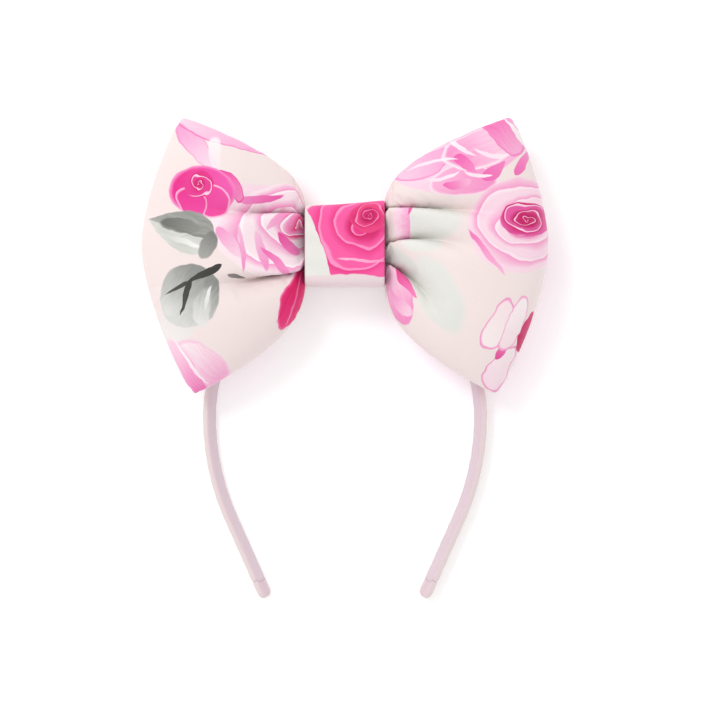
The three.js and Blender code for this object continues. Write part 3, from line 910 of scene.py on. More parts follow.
def make_piece(
    name: str,
    points: Grid,
    faces: Sequence[Face],
    cloth: Sequence[Outline],
    material: bpy.types.Material,
) -> bpy.types.Object:
    """Makes a smooth mesh object from points in millimetres.

    Args:
        name: The piece's name.
        points: Its points, three numbers each.
        faces: Point numbers of each face, seen from outside.
        cloth: The place on the cloth of each corner of each face, in millimetres.
        material: Its finish.

    Returns:
        The object, in metres.
    """
    mesh = bpy.data.meshes.new(name)
    mesh.from_pydata((np.asarray(points).reshape(-1, 3) * MM).tolist(), [], list(faces))
    layer = mesh.uv_layers.new(name=CLOTH_MAP)
    flat = np.array([corner for face in cloth for corner in face], float) / CLOTH_UNIT
    layer.data.foreach_set("uv", flat.ravel())
    mesh.polygons.foreach_set("use_smooth", [True] * len(mesh.polygons))
    mesh.materials.append(material)
    mesh.update()
    piece = bpy.data.objects.new(name, mesh)
    bpy.context.scene.collection.objects.link(piece)
    return piece


def refine(piece: bpy.types.Object) -> bpy.types.Object:
    """Subdivides a piece smoothly, once, and keeps the result as its mesh.

    Args:
        piece: The piece.

    Returns:
        The same piece.
    """
    rounding = piece.modifiers.new("rounding", "SUBSURF")
    rounding.levels = 1
    rounding.render_levels = 1
    return settle(piece)


def settle(piece: bpy.types.Object) -> bpy.types.Object:
    """Turns a piece's modifiers into its mesh.

    Args:
        piece: The piece.

    Returns:
        The same piece, with no modifiers left.
    """
    graph = bpy.context.evaluated_depsgraph_get()
    shape = bpy.data.meshes.new_from_object(
        piece.evaluated_get(graph), preserve_all_data_layers=True, depsgraph=graph,
    )
    piece.modifiers.clear()
    piece.data = shape
    return piece


@dataclass(frozen=True)
class Swelling:
    """How a sewn piece is blown up by its filling."""

    pressure: float = 12.0
    slack: float = 0.03  # how much longer the cloth is than the shape it starts from
    cap: float = 1.6  # the furthest that a point may move, in millimetres
    frames: int = 20
    work_scale: float = 10.0  # the cloth is worked at this many times its size

    def apply(self, piece: bpy.types.Object, hold: Grid) -> None:
        """Simulates the cloth and moves the piece's points by the capped result.

        Args:
            piece: A closed mesh with no modifiers.
            hold: How firmly each point is held, from 0 to 1.
        """
        start = np.array([v.co for v in piece.data.vertices])
        body = piece.copy()
        body.data = piece.data.copy()
        body.data.vertices.foreach_set("co", (start * self.work_scale).ravel())
        bpy.context.scene.collection.objects.link(body)
        group = body.vertex_groups.new(name="held")
        for index, weight in enumerate(hold):
            group.add([index], float(weight), "REPLACE")
        cloth = body.modifiers.new("filling", "CLOTH")
        cloth.settings.quality = 5
        cloth.settings.mass = 0.05
        cloth.settings.vertex_group_mass = group.name
        cloth.settings.use_pressure = True
        cloth.settings.uniform_pressure_force = self.pressure
        cloth.settings.shrink_min = -self.slack
        cloth.settings.effector_weights.gravity = 0.0
        cloth.point_cache.frame_start = 1
        cloth.point_cache.frame_end = self.frames
        scene = bpy.context.scene
        for moment in range(1, self.frames + 1):
            scene.frame_set(moment)
        worked = body.evaluated_get(bpy.context.evaluated_depsgraph_get()).data
        end = np.array([v.co for v in worked.vertices]) / self.work_scale
        moved = end - start
        length = np.linalg.norm(moved, axis=1, keepdims=True) + 1e-12
        cap = self.cap * MM
        moved *= cap * np.tanh(length / cap) / length
        piece.data.vertices.foreach_set("co", (start + moved).ravel())
        piece.data.update()
        bpy.data.objects.remove(body)
        scene.frame_set(1)
        logging.info("%s swelled by %.2f mm at most", piece.name, np.abs(moved).max() / MM)


def tube(path: Grid, radius: float) -> tuple[Grid, list[Face]]:
    """Sweeps a thread's round section along an open path.

    Args:
        path: The points of the path, in millimetres.
        radius: The section's radius.

    Returns:
        The points, ring by ring, and the faces.
    """
    ahead = np.gradient(path, axis=0)
    ahead /= np.linalg.norm(ahead, axis=1, keepdims=True)
    normal = np.cross(ahead[0], OFF_PATH)
    rings = []
    for point, heading in zip(path, ahead):
        normal = normal - heading * normal.dot(heading)
        normal /= np.linalg.norm(normal)
        side = np.cross(heading, normal)
        for step in range(THREAD_SIDES):
            angle = math.tau * step / THREAD_SIDES
            rings.append(point + radius * (math.cos(angle) * normal + math.sin(angle) * side))
    faces = quads(len(path), THREAD_SIDES, wrap_columns=True)
    faces.append(tuple(range(THREAD_SIDES)))
    last = (len(path) - 1) * THREAD_SIDES
    faces.append(tuple(last + step for step in reversed(range(THREAD_SIDES))))
    return np.array(rings), [tuple(reversed(face)) for face in faces]


def unwound(faces: Sequence[Face], step: float, strand: float) -> list[Outline]:
    """Lays a thread's surface out flat.

    Args:
        faces: The thread's faces, with its points numbered ring by ring.
        step: Millimetres from one ring to the next.
        strand: Millimetres from one point of a ring to the next.

    Returns:
        The place on the cloth of each corner of each face.
    """
    return [
        [(index // THREAD_SIDES * step, index % THREAD_SIDES * strand) for index in face]
        for face in faces
    ]


def fasten(piece: bpy.types.Object, body: str, slot: Slot, *nodes: str) -> bpy.types.Object:
    """Lets a piece ride on a body and stand for frame nodes.

    Args:
        piece: The piece, in its final shape.
        body: The body that it moves with.
        slot: The record's slot for its finish; not used.
        nodes: Frame nodes that it stands for.

    Returns:
        The piece.
    """
    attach(piece, body)
    if nodes:
        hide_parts(*nodes)
    return piece


# ---------------------------------------------------------------- band


@dataclass
class Band:
    """The springy strip with its satin cover, its ribbon lining and its folded tips."""

    width: float = 129.0
    crown_rise: float = 70.3
    crown_turn: float = math.radians(50)
    side_radius: float = 115.0
    side_turn: float = math.radians(24)
    tip_length: float = 39.5
    strip_width: float = 8.0
    strip_thickness: float = 2.9
    strip_lean: float = math.radians(27)
    cover_wall: float = 0.5
    lining_width: float = 6.5
    lining_thickness: float = 0.5
    core_thickness: float = 1.4
    crown_lift: float = 1.9  # the knot's back lies under the crown
    tip_fold_length: float = 9.0
    tip_rounding: float = 3.0
    hinge_distance: float = 26.0
    hinge_softness: float = 5.2  # how far the two points found round a hinge lie on each side of it
    middle_gap: float = 0.02  # how far each half stops short of the crown's middle
    pace: float = 1.2  # between sections along the strip
    cover_ease: float = 0.1  # how much wider than the strip the cover is, on each edge
    cover_overlap: float = 0.5  # how far it runs into the tip fold
    cover_tuck: float = 0.25  # how steeply its last millimetre dips into the fold
    cover_corner: float = 0.95
    core_corner: float = 0.45
    lining_overlap: float = 1.2
    lining_glue: float = 0.08  # between the ribbon and the satin
    lining_sag: float = 0.02  # how strongly its edges sink into the satin
    ribbon_cut: float = 10.0  # width of the ribbon as bought, before its edges are folded under
    fold_width_ease: float = 0.13  # how much fuller than the strip a tip fold is, on each edge
    fold_depth_ease: float = 0.05
    fold_mouth: tuple[float, float] = (0.2, 0.6)  # how far its mouth pulls in, and over what length
    fold_creases: int = 9
    crease_depth: float = 0.04  # as a share of the section

    def __post_init__(self) -> None:
        """Works out the bends of the centreline and where the band lies in the frame."""
        lean = self.strip_lean
        reach = (self.strip_width * math.sin(lean) + self.strip_thickness * math.cos(lean)) / 2
        half = self.width / 2 - reach
        self.crown_y = self.crown_rise - reach
        sine, cosine = math.sin(self.crown_turn), math.cos(self.crown_turn)
        shoulder = (self.crown_y * sine - half * (1 - cosine)) / (sine * cosine - (1 - sine) * (1 - cosine))
        crown = (half - shoulder * (1 - sine)) / sine
        self.bends = (
            (crown, self.crown_turn),
            (shoulder, math.pi / 2 - self.crown_turn),
            (self.side_radius - reach, self.side_turn),
        )
        self.end = sum(radius * turn for radius, turn in self.bends) + self.tip_length
        strip_height = self.strip_width * math.cos(lean) + self.strip_thickness * math.sin(lean)
        self.tilt = math.atan2(self.crown_lift, self.crown_y - self.flat_place(self.end)[0][1])
        self.lift = self.crown_lift + strip_height / 2 - self.crown_y * math.sin(self.tilt)
        core_reach = (self.lining_width * math.sin(lean) + self.core_thickness * math.cos(lean)) / 2
        self.shift = millimetres("core_crown")[1][1] - self.crown_y - core_reach

    def flat_place(self, distance: float) -> tuple[np.ndarray, float]:
        """Finds a place on the right half of the centreline, before the band is tilted.

        Args:
            distance: How far it is from the crown's middle, along the strip.

        Returns:
            The place seen from above, and how far the strip has turned from the crown's heading.
        """
        left, turned, x, y = distance, 0.0, 0.0, self.crown_y
        for radius, turn in self.bends:
            used = min(left, radius * turn)
            onward = turned + used / radius
            x += radius * (math.sin(onward) - math.sin(turned))
            y -= radius * (math.cos(turned) - math.cos(onward))
            turned = onward
            left -= used
        return np.array([x + left * math.cos(turned), y - left * math.sin(turned)]), turned

    def place(self, side: Side, distance: float, up: float = 0.0, out: float = 0.0) -> np.ndarray:
        """Finds a point of the strip in the frame.

        Args:
            side: Which half of the band.
            distance: How far along the strip from the crown's middle.
            up: How far from the centreline across the strip's width, towards its upper edge.
            out: How far from the centreline through its thickness, towards its outer face.

        Returns:
            The point, in millimetres.
        """
        flat, turned = self.flat_place(distance)
        sine, cosine = math.sin(self.strip_lean), math.cos(self.strip_lean)
        level = up * sine + out * cosine
        height = up * cosine - out * sine
        x = flat[0] + level * math.sin(turned)
        y = flat[1] + level * math.cos(turned)
        tilted_y = y * math.cos(self.tilt) - height * math.sin(self.tilt)
        tilted_z = y * math.sin(self.tilt) + height * math.cos(self.tilt)
        return np.array([side.value * x, tilted_y + self.shift, tilted_z + self.lift])

    def sleeve(
        self,
        side: Side,
        distances: Sequence[float],
        *sections: Callable[[float], Outline],
    ) -> tuple[Grid, list[Face], list[Outline]]:
        """Sweeps a closed section along the strip, with a second one inside it where it is hollow.

        Args:
            side: Which half of the band.
            distances: Where the section stands, from the crown outwards.
            sections: The outside and, for a hollow piece, the inside, each as points up and out.

        Returns:
            The points, the faces and the place on the cloth of each corner.
        """
        points, faces = [], []
        rows = len(distances)
        for layer, section in enumerate(sections):
            rings = [section(distance) for distance in distances]
            count = len(rings[0])
            places = zip(distances, rings)
            points += [self.place(side, distance, up, out) for distance, ring in places for up, out in ring]
            grid = quads(rows, count, wrap_columns=True)
            first = layer * rows * count
            if layer > 0:
                grid = [face[::-1] for face in grid]
            faces += [tuple(first + index for index in face) for face in grid]
        outline = sections[0](distances[0])
        around = np.linalg.norm(np.diff(np.array([*outline, outline[0]]), axis=0), axis=1)
        girths = np.concatenate([[0.0], np.cumsum(around)])
        size = rows * count
        for row, flip in ((0, -1), (rows - 1, 1)):
            ring = [row * count + step for step in range(count)]
            if len(sections) == 1:
                faces.append(tuple(ring[::flip]))
                continue
            for step in range(count):
                onward = (step + 1) % count
                rim = (ring[step], ring[onward], size + ring[onward], size + ring[step])
                faces.append(rim[::flip])
        cloth = []
        for face in faces:
            steps = [index % count for index in face]
            seam = {0, count - 1} <= set(steps) and len(face) == 4
            cloth.append([
                (distances[index % size // count], girths[count if seam and step == 0 else step])
                for index, step in zip(face, steps)
            ])
        if side is Side.RIGHT:
            faces = [face[::-1] for face in faces]
            cloth = [corners[::-1] for corners in cloth]
        return np.array(points), faces, cloth

    def rounded(
        self,
        half_width: float,
        half_depth: float,
        corner: float,
        steps: int = 5,
    ) -> Outline:
        """Draws a rectangle with round corners, from the middle of its inner face.

        Args:
            half_width: Half its size across the strip's width.
            half_depth: Half its size through the strip's thickness.
            corner: The radius of its corners.
            steps: How many points each corner has.

        Returns:
            Its points, each up and out.
        """
        points = [(0.0, -half_depth)]
        centres = ((1, -1, -90), (1, 1, 0), (-1, 1, 90), (-1, -1, 180))
        for up, out, start in centres:
            for step in range(steps):
                angle = math.radians(start + 90 * step / (steps - 1))
                points.append((
                    up * (half_width - corner) + corner * math.cos(angle),
                    out * (half_depth - corner) + corner * math.sin(angle),
                ))
            if (up, out) == (1, 1):
                points.append((0.0, half_depth))
        return points

    def bending_ends(self, side: Side) -> tuple[Vector, Vector]:
        """Finds the two points on either side of an arm's hinge.

        Args:
            side: Which arm.

        Returns:
            The points in the frame, in metres.
        """
        flat, turned = self.flat_place(self.hinge_distance)
        heading = np.array([side.value * math.cos(turned), -math.sin(turned), 0.0])
        hinge = self.place(side, self.hinge_distance)
        start = hinge - heading * self.hinge_softness
        end = hinge + heading * self.hinge_softness
        return Vector(start * MM), Vector(end * MM)

    def steps(self, start: float, end: float, pace: float) -> list[float]:
        """Distances along the strip, about as far apart as the pace."""
        count = max(2, round((end - start) / pace))
        return [start + (end - start) * step / count for step in range(count + 1)]

    def cover(self, side: Side, material: bpy.types.Material, tip: bpy.types.Object) -> bpy.types.Object:
        """Builds one half of the satin cover.

        Args:
            side: Which half of the band.
            material: The satin.
            tip: The fold of the same satin at the strip's end; not used.

        Returns:
            The piece.
        """
        end = self.end - self.tip_fold_length + self.cover_overlap
        half_width, half_depth = self.strip_width / 2, self.strip_thickness / 2

        def outside(distance: float) -> Outline:
            """Draws the wrap of satin, a little fuller in some places than in others.

            Args:
                distance: How far it is from the crown's middle, along the strip.

            Returns:
                The section's points.
            """
            puff = 0.05 * math.sin(distance * 0.83) + 0.03 * math.sin(distance * 2.1 + 1.0)
            tuck = self.cover_tuck * max(0.0, distance - end + 1.0)
            width = half_width + self.cover_ease + puff - tuck
            return self.rounded(width, half_depth + puff - tuck, self.cover_corner)

        def inside(distance: float) -> Outline:
            """The hollow that the core lies in."""
            wall = self.cover_wall
            return self.rounded(half_width - wall, half_depth - wall, self.core_corner)

        shape = self.sleeve(side, self.steps(self.middle_gap, end, self.pace), outside, inside)
        piece = make_piece(f"satin_{side.word}", *shape, material)
        self.bend(piece, side, Slot.SATIN, "satin_cover_crown", f"satin_cover_{side.word}_arm")
        girth = 2 * (self.strip_width + self.strip_thickness)
        flat = (girth * MM, end * MM)
        return piece

    def bend(self, piece: bpy.types.Object, side: Side, slot: Slot, *nodes: str) -> None:
        """Bakes a piece's placing into its mesh and hides the frame nodes that it stands for.

        Args:
            piece: The piece, in its final shape.
            side: Which arm.
            slot: The record's slot for its finish; not used.
            nodes: Frame nodes that it stands for.
        """
        start, end = self.bending_ends(side)
        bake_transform(piece)
        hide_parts(*nodes)

    def lining(self, side: Side, material: bpy.types.Material) -> bpy.types.Object:
        """Builds one half of the ribbon glued to the inner face.

        Args:
            side: Which half of the band.
            material: The ribbon's finish.

        Returns:
            The piece.
        """
        end = self.end - self.tip_fold_length + self.lining_overlap
        middle = -self.strip_thickness / 2 - self.lining_glue

        def ribbon(distance: float) -> Outline:
            """Draws the ribbon's section, with its edges sinking into the satin.

            Args:
                distance: How far it is from the crown's middle, along the strip.

            Returns:
                The section's points.
            """
            wave = 0.04 * math.sin(distance * 1.3)
            flat = self.rounded(self.lining_width / 2 + wave, self.lining_thickness / 2, 0.2, 3)
            return [(up, out + middle + self.lining_sag * up * up) for up, out in flat]

        shape = self.sleeve(side, self.steps(self.middle_gap, end, self.pace), ribbon)
        piece = make_piece(f"lining_ribbon_{side.word}", *shape, material)
        self.bend(piece, side, Slot.LINING, "lining_crown", f"lining_{side.word}_arm")
        flat = (self.ribbon_cut * MM, end * MM)
        area = (self.lining_width + self.lining_thickness) * end * MM * MM
        return piece

    def tip_fold(self, side: Side, material: bpy.types.Material) -> bpy.types.Object:
        """Builds the satin gathered round the end of an arm.

        Args:
            side: Which arm.
            material: The satin.

        Returns:
            The piece.
        """
        start = self.end - self.tip_fold_length
        rounding = self.tip_rounding
        turns = [rounding * math.sin(math.radians(angle)) for angle in range(0, 91, 10)]
        distances = self.steps(start, self.end - rounding, 0.8)
        distances += [self.end - rounding + turn for turn in turns[1:]]
        half_width = self.strip_width / 2 + self.fold_width_ease
        half_depth = self.strip_thickness / 2 + self.fold_depth_ease
        mouth_tuck, mouth_length = self.fold_mouth

        def gathered(distance: float) -> Outline:
            """Draws the section, which closes to a round end and creases where the cloth is gathered.

            Args:
                distance: How far it is from the crown's middle, along the strip.

            Returns:
                The section's points.
            """
            past = max(0.0, distance - (self.end - rounding))
            close = rounding - math.sqrt(max(0.0, rounding ** 2 - past ** 2))
            depth = half_depth * max(0.12, math.sqrt(max(0.0, 1 - (past / rounding) ** 3)))
            tuck = mouth_tuck * max(0.0, 1 - (distance - start) / mouth_length)
            ring = self.rounded(max(0.3, half_width - close - tuck), depth - tuck, min(0.85, 0.9 * depth))
            crease = self.crease_depth * min(1.0, max(0.0, (distance - start - 3) / 4))
            creased = []
            for up, out in ring:
                fullness = 1 + crease * math.cos(self.fold_creases * math.atan2(out, up))
                creased.append((up * fullness, out * fullness))
            return creased

        shape = self.sleeve(side, distances, gathered)
        piece = make_piece(f"tip_fold_{side.word}", *shape, material)
        return fasten(refine(piece), f"{side.word}_arm", Slot.SATIN, f"tip_cap_{side.word}")

    def dress(self, satin: bpy.types.Material, ribbon: bpy.types.Material) -> list[bpy.types.Object]:
        """Builds everything on the strip.

        Args:
            satin: Finish of the cover and the tips.
            ribbon: Finish of the lining.

        Returns:
            The pieces.
        """
        pieces = []
        for side in Side:
            tip = self.tip_fold(side, satin)
            pieces += [tip, self.cover(side, satin, tip), self.lining(side, ribbon)]
        return pieces


# ---------------------------------------------------------------- bow


@dataclass(frozen=True)
class Fold:
    """A pleat that leaves the knot and fades into a loop."""

    start: float  # height on the bow where it leaves the knot
    end: float  # height where it has faded
    reach: float  # distance from the bow's centre where it has faded
    depth: float  # of its valley, beside the knot
    lap: float  # how far the cloth laps over it: upwards from below, or downwards where negative
    arch: float = 0.0  # how far its middle bows upwards


@dataclass
class BowLoop:
    """One loop of the bow: two sewn panels, blown up by the wadding and pleated at the knot."""

    side: Side
    folds: tuple[Fold, ...]  # from the lowest to the highest
    half: float = 92.3
    top_corner: tuple[float, float] = (73.8, 58.2)
    bottom_corner: tuple[float, float] = (68.6, 67.4)
    corner_rounding: float = 1.8
    end_bow: float = 1.65  # near 1 the end is a wedge, and at 2 it is a round arc
    start: float = 0.3  # distance of its inner end from the bow's centre
    neck: float = 17.6
    waist_half: float = 13.0
    neck_half: float = 16.3
    flare: float = 0.47
    swell: float = 0.33  # how suddenly its depth grows beside the knot
    front_depth: float = 22.0
    back_depth: float = 9.6
    waist_front: float = 7.0
    waist_back: float = 8.4
    fullest: float = 0.45
    stations: int = 50
    rows: int = 72
    inner_stations: int = 7  # between the bow's centre and the knot's side
    end_crowding: float = 1.75  # how much closer the stations stand at the knot than at the end
    row_pull: float = 0.45  # how much closer the rows stand beside the folds
    valley_width: float = 1.1  # of a fold at the knot
    valley_spread: float = 3.4  # how much wider it gets where it has faded
    slope: tuple[float, float] = (0.42, 7.5)  # how the side below a lap falls: share of depth, and reach
    hump: float = 0.6  # share of a fold's depth that the lapping side rises by
    fold_hold: float = 0.85  # how firmly a fold is held while the loop is blown up
    seam_hold: float = 0.75
    neck_hold: float = 3.0  # distance from the knot over which the cloth comes free
    seam_gap: float = 0.15  # how far the seam lies below the front panel's box
    back_print: tuple[float, float] = (-1.04, 2.0)  # the back is cut upside down: stretch and shift

    def end_reach(self, height: Grid) -> Grid:
        """Draws the loop's curved end.

        Args:
            height: Heights on the bow.

        Returns:
            The end's distance from the bow's centre at each height.
        """
        reaches = []
        for corner, sign in ((self.top_corner, 1), (self.bottom_corner, -1)):
            inward = self.half - corner[0]
            share = np.maximum(sign * height, 0) / corner[1]
            reaches.append(self.half - inward * share ** self.end_bow)
        return np.where(height > 0, reaches[0], reaches[1])

    def edge(self, share: Grid, corner: tuple[float, float], inside: Grid) -> Grid:
        """Height of the upper or lower edge.

        Args:
            share: How far along the loop, from 0 at the knot to 1 at the corner.
            corner: The corner that the edge runs to.
            inside: How far from the bow's centre, from 0 to 1 at the knot's side.

        Returns:
            The height, without its sign.
        """
        gathered = self.waist_half + (self.neck_half - self.waist_half) * inside ** 2
        return gathered + (corner[1] - gathered) * share ** self.flare

    def plan(self, rows: int) -> tuple[Grid, Grid, Grid, Grid, Grid]:
        """Lays the loop's grid out flat, with rows that follow the folds.

        Args:
            rows: How many rows of points run along the loop.

        Returns:
            For each point its distance from the bow's centre, its height, its share of the height from -1
            to 1, its share of the length, and how far it is above each fold.
        """
        inner = np.linspace(self.start, self.neck, self.inner_stations + 1)[:-1]
        outer = np.linspace(0, 1, self.stations) ** self.end_crowding
        share = np.concatenate([np.zeros(self.inner_stations), outer])
        inside = np.concatenate([inner / self.neck, np.ones(self.stations)])
        top = self.edge(share, self.top_corner, inside)
        bottom = self.edge(share, self.bottom_corner, inside)
        middle = np.concatenate([inner, self.neck + (self.half - self.neck) * outer])
        creases = []
        for fold in self.folds:
            run = np.clip((middle - self.neck) / (fold.reach - self.neck), 0, 1)
            height = fold.start + (fold.end - fold.start) * run + 4 * fold.arch * run * (1 - run)
            height = height * (0.8 + 0.2 * inside)
            kept = np.where(height > 0, height / top, height / bottom)
            faded = np.interp(fold.reach, middle, kept)
            creases.append(np.where(middle > fold.reach, faded, kept))
        knots = np.stack([-np.ones_like(share), *creases, np.ones_like(share)], axis=1)
        marks = np.round((knots[-1] + 1) / 2 * (rows - 1)).astype(int)
        across = np.empty((len(share), rows))
        for station, knot in enumerate(knots):
            for band in range(len(knot) - 1):
                first, last = marks[band], marks[band + 1]
                steps = eased(np.linspace(0, 1, last - first + 1), self.row_pull)
                across[station, first:last + 1] = knot[band] + (knot[band + 1] - knot[band]) * steps
        height = np.where(across > 0, across * top[:, None], across * bottom[:, None])
        end_height = np.where(across > 0, across * self.top_corner[1], across * self.bottom_corner[1])
        length = share[:, None]
        distance = np.where(
            inside[:, None] < 1,
            middle[:, None],
            self.neck + (self.end_reach(end_height) - self.neck) * length,
        )
        corner = np.abs(across) ** 24 * length ** 16 * self.corner_rounding
        distance = distance - corner
        height = height - 0.6 * corner * np.sign(across)
        away = np.stack([
            height - np.where(crease > 0, crease * top, crease * bottom)[:, None] for crease in creases
        ]) if creases else np.zeros((0, *height.shape))
        return distance, height, across, length + 0 * across, away

    def depth(self, share: Grid, neck_depth: float, full_depth: float) -> Grid:
        """Works out the depth along the middle of the loop, from its seam to one face.

        Args:
            share: How far along the loop, from 0 at the knot to 1 at the end.
            neck_depth: The depth beside the knot.
            full_depth: The depth where the loop is fullest.

        Returns:
            The depth.
        """
        opening = np.clip(share / self.fullest, 0, 1) ** self.swell
        rising = neck_depth + (full_depth - neck_depth) * opening
        past = np.clip((share - self.fullest) / (1 - self.fullest), 0, 1)
        return np.where(share <= self.fullest, rising, full_depth * np.sqrt(1 - past ** 2))

    def front(self) -> tuple[Grid, Grid, Grid]:
        """Shapes the printed front with its folds.

        Returns:
            Its points, their places on the cloth, and how firmly the folds hold them.
        """
        distance, height, across, share, away = self.plan(self.rows)
        profile = np.sqrt(np.clip(1 - across ** 4, 0, 1))
        rise = self.depth(share, self.waist_front, self.front_depth) * profile
        lift, slide, held = np.zeros_like(rise), np.zeros_like(rise), np.zeros_like(rise)
        slope_share, slope_reach = self.slope
        for fold, gap in zip(self.folds, away):
            fade = (1 - smooth((distance - self.neck) / (fold.reach - self.neck))) ** 0.8
            width = self.valley_width + self.valley_spread * (1 - fade)
            valley = np.exp(-(gap / width) ** 2)
            lift -= fold.depth * fade * valley
            held = np.maximum(held, valley * np.minimum(1.0, 2.0 * fade))
            lapping = -gap * np.sign(fold.lap)
            below = np.clip(-lapping, 0, None) / slope_reach
            lift -= slope_share * fold.depth * fade * np.exp(-below ** 2)
            over = np.clip(lapping, 0, None) / (width * 1.5)
            hump = over * np.exp(1 - over)
            lift += self.hump * fold.depth * fade * hump
            slide += fold.lap * fade * hump * np.clip(share * 30, 0, 1)
        ripple = np.sin(across * 9.0 + 3.1 * share + self.side.value) * np.exp(-share * 3.2)
        rise = np.maximum(rise + (lift + 0.5 * ripple) * profile, 0.0)
        points = np.stack([self.side.value * distance, height + slide, rise], axis=2)
        steps = np.hypot(np.diff(height, axis=1), np.diff(rise - lift * profile, axis=1))
        along = np.concatenate([np.zeros((len(steps), 1)), np.cumsum(steps, axis=1)], axis=1)
        middle = np.array([np.interp(0.0, row, run) for row, run in zip(across, along)])
        cloth = np.stack([self.side.value * distance, along - middle[:, None]], axis=2)
        return points, cloth, held

    def back(self) -> tuple[Grid, Grid, Grid]:
        """Shapes the back, which faces the head and is gathered at the knot.

        Returns:
            Its points, their places on the cloth, and no hold on any of them.
        """
        distance, height, across, share, _ = self.plan(self.rows)
        profile = np.sqrt(np.clip(1 - across ** 4, 0, 1))
        fall = self.depth(share, self.waist_back, self.back_depth) * profile
        gathers = 0.9 * np.cos(across * 14.0) * np.exp(-share * 5.0) * profile
        behind = -np.maximum(fall - np.abs(gathers), 0.0)
        points = np.stack([self.side.value * distance, height, behind], axis=2)
        stretch, shift = self.back_print
        cloth = np.stack([self.side.value * distance, height * stretch + shift], axis=2)
        return points, cloth, np.zeros_like(fall)

    def build(
        self,
        name: str,
        material: bpy.types.Material,
        swelling: Swelling | None,
    ) -> bpy.types.Object:
        """Sews the two faces together into one closed piece.

        Args:
            name: The piece's name.
            material: Its finish.
            swelling: How its filling blows it up, or None.

        Returns:
            The piece, refined.
        """
        front, back = self.front(), self.back()
        stations, rows, _ = front[0].shape
        index = np.arange(stations * rows).reshape(stations, rows)
        rim = np.zeros((stations, rows), bool)
        rim[:, 0] = rim[:, -1] = rim[-1] = True
        back_index = np.where(rim, index, 0)
        back_index[~rim] = stations * rows + np.arange((~rim).sum())
        points = np.concatenate([front[0].reshape(-1, 3), back[0][~rim]])
        points[index[rim], 2] = 0.0
        faces, cloth = [], []
        panels = ((index, front[1], Side.RIGHT), (back_index, back[1], Side.LEFT))
        for numbers, flat, reversed_side in panels:
            for face in quads(stations, rows):
                corners = face[::-1] if self.side is reversed_side else face
                faces.append(tuple(int(numbers.flat[corner]) for corner in corners))
                cloth.append([tuple(flat.reshape(-1, 2)[corner]) for corner in corners])
        for row in range(rows - 1):
            ring = (index[0, row], index[0, row + 1], back_index[0, row + 1], back_index[0, row])
            cap = list(dict.fromkeys(ring))
            cap = cap[::-1] if self.side is Side.LEFT else cap
            faces.append(tuple(int(corner) for corner in cap))
            cloth.append([(0.0, 0.0)] * len(cap))
        bow_low, _ = millimetres("bow_front_panel")
        knot_low, knot_high = millimetres("knot_wrap")
        centre = np.array([0.0, (knot_low[1] + knot_high[1]) / 2, bow_low[2] - self.seam_gap])
        piece = make_piece(name, points + centre, faces, cloth, material)
        if swelling:
            held = np.exp(-np.clip(np.abs(points[:, 0]) - self.neck, 0, None) / self.neck_hold)
            sewn = np.zeros(len(points))
            sewn[:stations * rows] = self.fold_hold * front[2].ravel()
            sewn[index[rim]] = self.seam_hold
            swelling.apply(piece, np.maximum(held, sewn))
        return refine(piece)


